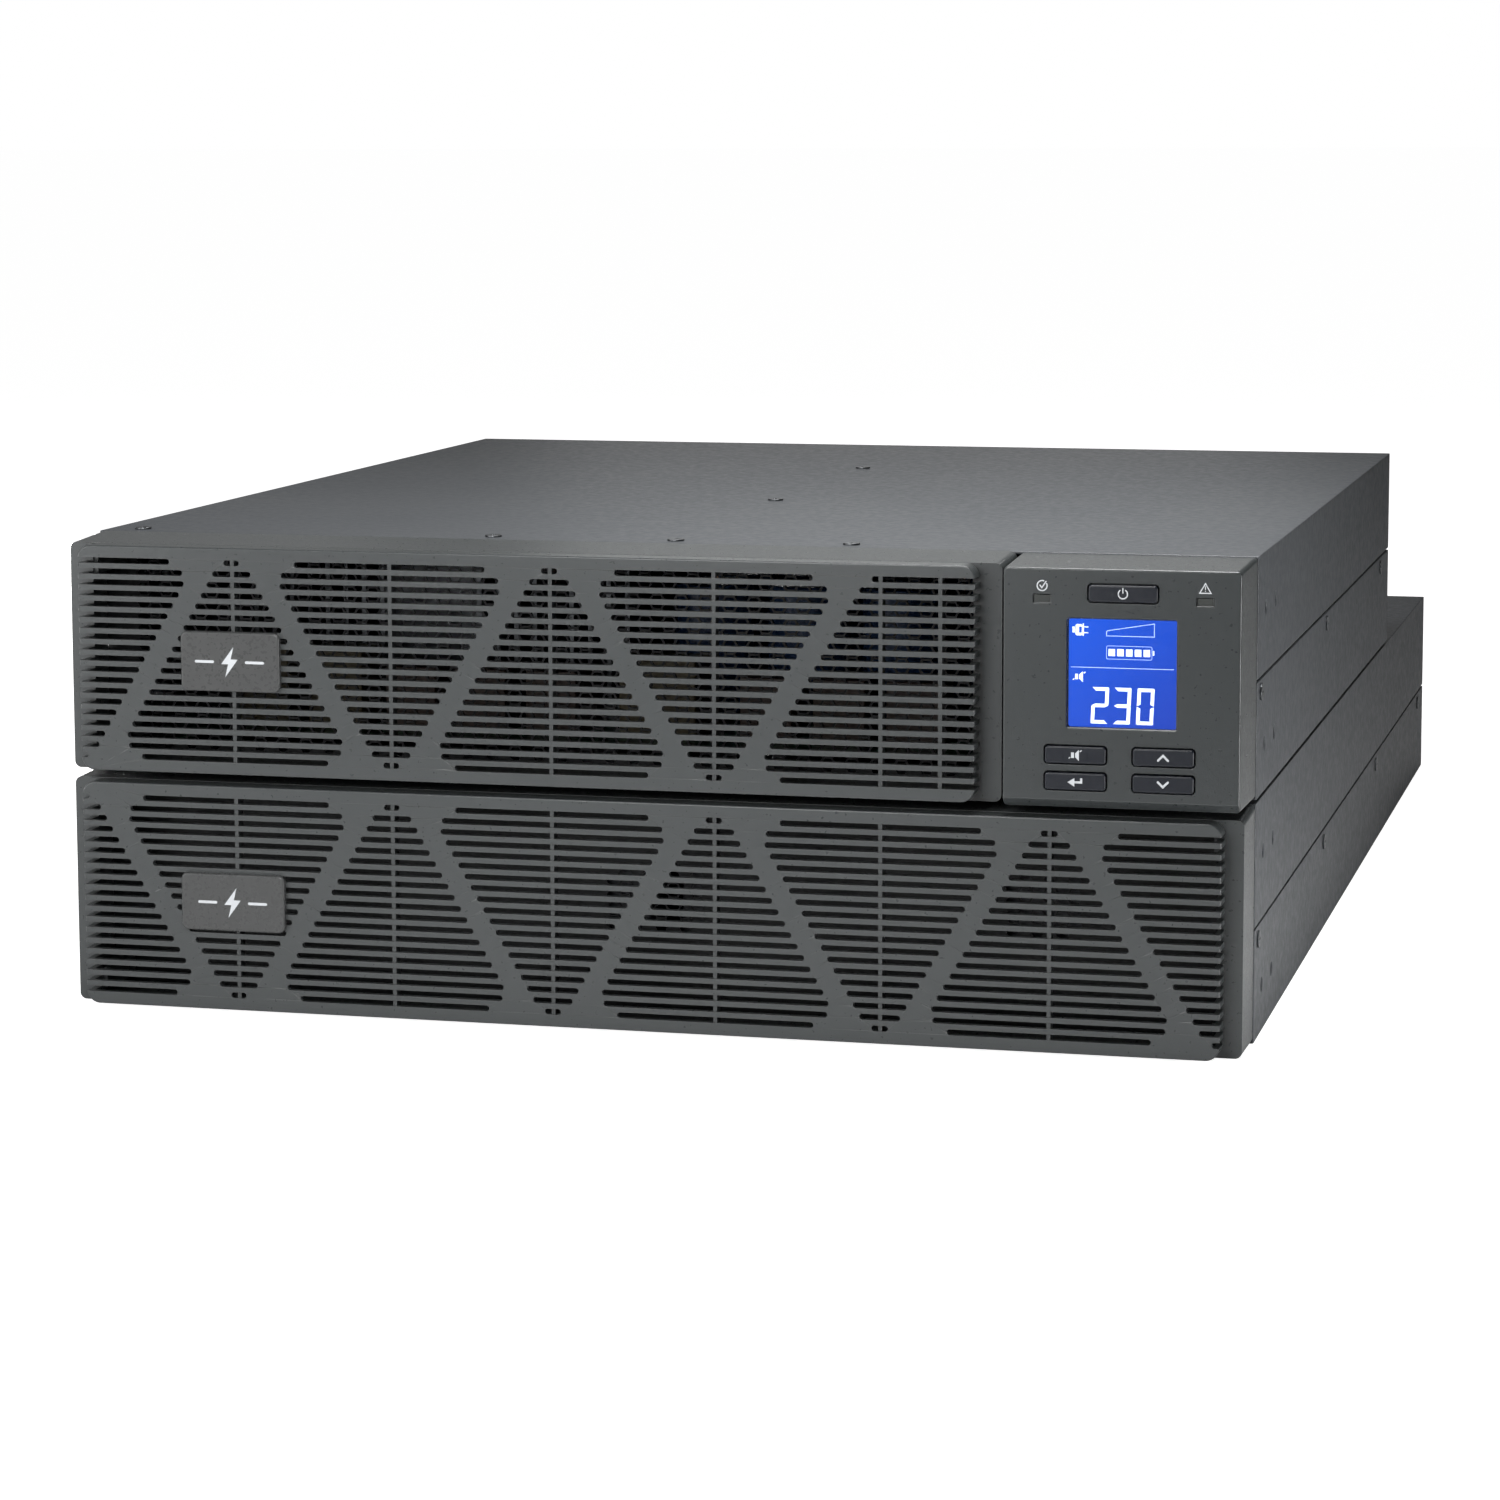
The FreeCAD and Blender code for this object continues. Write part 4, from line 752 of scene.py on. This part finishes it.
def chevron(cx, cz, up):
    s = 1 if up else -1
    rise = 0.85 * s
    return [[stroke([(cx - 1.75, cz - rise), (cx, cz + rise), (cx + 1.75, cz - rise)], 0.75)]]


def return_arrow(cx, cz):
    arrow = [(-2.65, -0.25), (-0.15, -1.75), (-0.15, -0.60), (2.6, -0.60), (2.6, 1.25),
             (1.85, 1.25), (1.85, 0.20), (-0.15, 0.20), (-0.15, 1.30)]
    return [[[(cx + x, cz + z) for x, z in arrow]]]


def ready_mark(cx, cz):
    ring = stroke(arc(cx, cz, 1.75, 72, 385, 30), PEN)
    tick = stroke([(cx - 0.75, cz + 0.15), (cx - 0.1, cz - 0.75), (cx + 1.35, cz + 1.45)], PEN)
    return [[ring], [tick]]


def warning_mark(cx, cz):
    corners = [(cx, cz + 1.75), (cx - 1.95, cz - 1.6), (cx + 1.95, cz - 1.6)]
    bar = stroke([(cx, cz + 0.70), (cx, cz - 0.30)], 0.30)
    return [outline(corners, 0.36), [bar], [circle(cx, cz - 0.90, 0.17, 12)]]


def bolt_mark(cx, cz):
    """Plain lightning bolt between two bars."""
    bolt = [(cx + 1.6, cz + 5.6), (cx - 3.2, cz - 0.8), (cx - 0.5, cz - 0.8), (cx - 1.7, cz - 5.6),
            (cx + 3.2, cz + 1.0), (cx + 0.5, cz + 1.0)]
    bars = [[stroke([(cx + s * 6.5, cz), (cx + s * 13.0, cz)], 1.0)] for s in (-1, 1)]
    return [[bolt]] + bars


def key_centre(node):
    x0, x1, y0, _, z0, z1 = span(node)
    return (x0 + x1) / 2, y0, (z0 + z1) / 2


def mark_on(node, name, body, draw, *extra):
    """Prints a mark on the front of a key or a plate."""
    x, y, z = key_centre(node)
    return plates(name, draw(x, z, *extra), y - PRINT_T, PRINT_T + PRINT_SUNK, body,
                  "print_grey")


def build_marks():
    mark_on("power_button", "power_legend", "power_button", power_mark)
    mark_on("mute_button", "mute_legend", "mute_button", muted_speaker, 4.6)
    mark_on("enter_button", "enter_legend", "enter_button", return_arrow)
    mark_on("up_button", "up_legend", "up_button", chevron, True)
    mark_on("down_button", "down_legend", "down_button", chevron, False)
    mark_on("ups_badge", "ups_badge_emblem", "ups_bezel", bolt_mark)
    mark_on("pack_badge", "pack_badge_emblem", "pack_bezel", bolt_mark)
    face = span("display_housing")[2]
    shapes = ready_mark(148.5, UPS_BASE + 78.9) + warning_mark(205.4, UPS_BASE + 79.2)
    plates("status_marks", shapes, face - PRINT_T, PRINT_T + PRINT_SUNK, "display_module",
           "print_grey")


# ---------------------------------------------------------------- contacts in the rear sockets
def build_power_contacts(name, node, centres):
    """A pair of rounded spring blades in each well of the battery sockets."""
    _, _, _, y1, z0, z1 = span(node)
    mid = (z0 + z1) / 2
    bm = bmesh.new()
    for cx in centres:
        for side in (-1, 1):
            x = cx + side * 9.5
            for lean in (-1, 1):
                level = mid + lean * 2.4
                add_block(bm, x - 3.6, x + 3.6, y1 - 11.9, y1 - 3.5, level - 0.7, level + 0.7)
    piece_from(bm, name, "chassis", "contact_silver", edge=0.35)


def build_link_contacts(name, node, centres):
    """Eight sprung wires across the roof of each modular socket."""
    _, _, _, y1, z0, z1 = span(node)
    mid = centres[0][1]
    bm = bmesh.new()
    for cx, _ in centres:
        for i in range(8):
            x = cx + 1.02 * (i - 3.5)
            corners = []
            for y, z in ((y1 - 10.5, 3.6), (y1 - 3.2, 2.9), (y1 - 8.6, -0.6)):
                corners.append((y, mid + z))
            for (ya, za), (yb, zb) in zip(corners, corners[1:]):
                add_wire(bm, x, ya, za, yb, zb)
    piece_from(bm, name, "chassis", "contact_gold")


def add_wire(bm, x, ya, za, yb, zb, half=0.2):
    """Square wire between two points of one X plane."""
    along = Vector((0, yb - ya, zb - za)).normalized()
    across = Vector((0, -along.z, along.y)) * half
    ends = []
    for y, z in ((ya, za), (yb, zb)):
        ring = []
        for sx, s in ((-1, -1), (1, -1), (1, 1), (-1, 1)):
            point = Vector((x + sx * half, y, z)) + across * s
            ring.append(bm.verts.new((point.x * MM, SEAM_Y + point.y * MM, point.z * MM)))
        ends.append(ring)
    bm.faces.new(ends[0])
    bm.faces.new(ends[1][::-1])
    for i in range(4):
        j = (i + 1) % 4
        bm.faces.new((ends[0][i], ends[1][i], ends[1][j], ends[0][j]))


def add_turned(bm, base, inward, profile, steps=18):
    """Closed solid turned about an axis along X; the profile is (radius, depth) from the base point."""
    rings = []
    for radius, depth in profile:
        ring = []
        for i in range(steps if radius else 1):
            a = 2 * math.pi * i / steps
            point = (base[0] + inward * depth, base[1] + radius * math.cos(a),
                     base[2] + radius * math.sin(a))
            ring.append(bm.verts.new((point[0] * MM, SEAM_Y + point[1] * MM, point[2] * MM)))
        rings.append(ring)
    for a, b in zip(rings, rings[1:]):
        for i in range(steps):
            j = (i + 1) % steps
            corners = [a[i % len(a)], a[j % len(a)], b[j % len(b)], b[i % len(b)]]
            bm.faces.new(list(dict.fromkeys(corners)))


NUT_PROFILE = [(0.0, 5.6), (2.05, 5.6), (2.05, 0.0), (5.0, 0.0), (5.0, 1.0), (3.9, 1.4), (3.9, 6.6), (2.8, 7.4),
               (0.0, 7.4)]
EAR_HOLES_Y = (21.0, 49.0)
EAR_HOLES_Z = (17.5, 66.5)
WALL = 1.2


def build_ear_nuts():
    """Closed press-in nuts behind the side walls' rack ear holes."""
    bm = bmesh.new()
    x0, x1 = span("pack_tray")[:2]
    for base_z in (0.0, UPS_BASE):
        for y in EAR_HOLES_Y:
            for z in EAR_HOLES_Z:
                add_turned(bm, (x0 + WALL, y, base_z + z), 1, NUT_PROFILE)
                add_turned(bm, (x1 - WALL, y, base_z + z), -1, NUT_PROFILE)
    piece_from(bm, "rack_ear_nuts", "chassis", "zinc_steel", edge=0.15)


def build_port_details():
    y1 = span("ups_rear_panel")[3]
    z = UPS_BASE + 73.0
    bm = bmesh.new()
    add_block(bm, 162 - 2.9, 162 + 2.9, y1 - 8.2, y1 - 1.0, z - 1.7, z + 1.7)
    piece_from(bm, "data_port_tongue", "chassis", "terminal_black", edge=0.3)
    bm = bmesh.new()
    for s in (-1, 1):
        add_block(bm, 143 + s * 2.5 - 0.5, 143 + s * 2.5 + 0.5, y1 - 4.4, y1 + 1.6, z - 0.5, z + 0.5)
    piece_from(bm, "power_off_pins", "chassis", "contact_silver", edge=0.15)


def build_fan_labels():
    """Plain foil discs on the fans' hubs."""
    for side in ("left", "right"):
        x0, x1, _, y1, z0, z1 = span("fan_frame_" + side)
        cx, cz = (x0 + x1) / 2, (z0 + z1) / 2
        plates("fan_label_" + side, [[circle(cx, cz, 14.0, 48), circle(cx, cz, 2.2, 20)]], y1 - 0.56, 0.1,
               "chassis", "zinc_steel")


# ---------------------------------------------------------------- studio
CAMERA_AT = (0.40121, -1.75984, 0.32513)
CAMERA_YAW, CAMERA_PITCH, CAMERA_ROLL = 0.24941, 0.12139, -0.00301
LENS, SHIFT_Y = 98.94, -0.08


def build_camera():
    camera = bpy.data.objects.new("camera", bpy.data.cameras.new("camera"))
    camera.data.lens = LENS
    camera.data.sensor_width = 36.0
    camera.data.shift_y = SHIFT_Y
    camera.data.clip_start, camera.data.clip_end = 0.05, 200.0
    camera.matrix_world = (Matrix.Translation(CAMERA_AT) @ Matrix.Rotation(CAMERA_YAW, 4, "Z")
                           @ Matrix.Rotation(math.pi / 2 - CAMERA_PITCH, 4, "X")
                           @ Matrix.Rotation(CAMERA_ROLL, 4, "Z"))
    bpy.context.scene.collection.objects.link(camera)
    bpy.context.scene.camera = camera


def build_floor():
    material, tree, shader = new_material("floor_paper")
    tone = place(tree, "tone_drift", Color=(0.75, 0.75, 0.75, 1.0), Amount=0.01, Scale=0.8)["Color"]
    tree.links.new(tone, shader.inputs["Base Color"])
    shader.inputs["Roughness"].default_value = 0.9
    shader.inputs["Specular IOR Level"].default_value = 0.1
    seen = add_node(tree, "LightPath").outputs["Is Camera Ray"]
    shader.inputs["Emission Color"].default_value = (1, 1, 1, 1)
    glow = remap(tree, seen, 0.0, 1.0, FLOOR_BOUNCE, FLOOR_GLOW)
    tree.links.new(glow, shader.inputs["Emission Strength"])
    bm = bmesh.new()
    bmesh.ops.create_grid(bm, x_segments=1, y_segments=1, size=60.0)
    mesh = bpy.data.meshes.new("floor")
    bm.to_mesh(mesh)
    bm.free()
    mesh.materials.append(material)
    floor = bpy.data.objects.new("floor", mesh)
    bpy.context.scene.collection.objects.link(floor)


def softbox(name, at, aim, width, height, power):
    light = bpy.data.lights.new(name, "AREA")
    light.shape = "RECTANGLE"
    light.size, light.size_y, light.energy = width, height, power
    lamp = bpy.data.objects.new(name, light)
    lamp.location = at
    lamp.rotation_mode = "QUATERNION"
    lamp.rotation_quaternion = (Vector(aim) - Vector(at)).to_track_quat("-Z", "Y")
    lamp.visible_camera = False
    bpy.context.scene.collection.objects.link(lamp)


def build_sky_and_lamps():
    world = bpy.data.worlds.new("studio")
    bpy.context.scene.world = world
    world.use_nodes = True
    tree = world.node_tree
    seen = add_node(tree, "LightPath").outputs["Is Camera Ray"]
    strength = remap(tree, seen, 0.0, 1.0, AMBIENT, BACKGROUND)
    tree.nodes["Background"].inputs[0].default_value = (1, 1, 1, 1)
    tree.links.new(strength, tree.nodes["Background"].inputs[1])
    for name, at, aim, width, height, power in SOFTBOXES:
        softbox(name, at, aim, width, height, power)


AMBIENT, BACKGROUND = 0.03, 1.0
FLOOR_BOUNCE, FLOOR_GLOW = 0.05, 0.97
# name, place, aim, width, height, watts
SOFTBOXES = [
    ("key_left", (-0.7, -1.0, 0.25), (-0.1, -0.35, 0.1), 0.4, 0.4, 2.5),
    ("far_left", (-1.7, -2.0, 0.9), (0.0, -0.3, 0.1), 1.2, 1.2, 8.0),
    ("slot_left", (-1.2, -0.95, 0.18), (-0.1, -0.35, 0.10), 0.5, 0.12, 1.2),
    ("front_near", (-0.07, -0.85, 0.35), (-0.05, -0.35, 0.09), 0.3, 0.3, 2.65),
    ("over_right", (0.15, -0.30, 0.65), (0.1, -0.25, 0.17), 0.3, 0.3, 5.3),
    ("over_back", (0.0, 1.8, 1.6), (0.0, 0.0, 0.1), 2.0, 1.0, 4.6),
    ("back_left", (-1.6, 2.2, 1.0), (0.0, 0.0, 0.1), 1.2, 1.0, 1.1),
    ("back_low", (-0.5, 2.5, 0.5), (0.0, 0.0, 0.1), 0.8, 0.6, 1.4),
    ("side_low", (0.60, -0.42, 0.06), (0.22, -0.28, 0.06), 0.2, 0.2, 1.5),
    ("rear_low", (-0.7, 1.4, 0.09), (0.0, 0.3, 0.09), 0.8, 0.12, 18.0),
    ("left_low", (-1.3, 0.7, 0.09), (-0.2, 0.1, 0.09), 0.6, 0.12, 2.5),
]


finish_cad_nodes()
build_front_vent()
build_screen()
build_surrounds()
build_marks()
build_power_contacts("ups_socket_contacts", "ups_battery_socket", [64.0])
build_power_contacts("pack_socket_contacts", "pack_battery_sockets", [-50.0, 10.0])
build_link_contacts("ups_link_contacts", "ups_rear_panel",
                    [(200.0, UPS_BASE + 73.0), (183.0, UPS_BASE + 73.0)])
build_link_contacts("pack_link_contacts", "pack_rear_panel", [(86.0, 43.4), (104.0, 43.4)])
build_ear_nuts()
build_port_details()
build_fan_labels()
build_camera()
build_floor()
build_sky_and_lamps()
bpy.context.scene.view_settings.view_transform = "Standard"
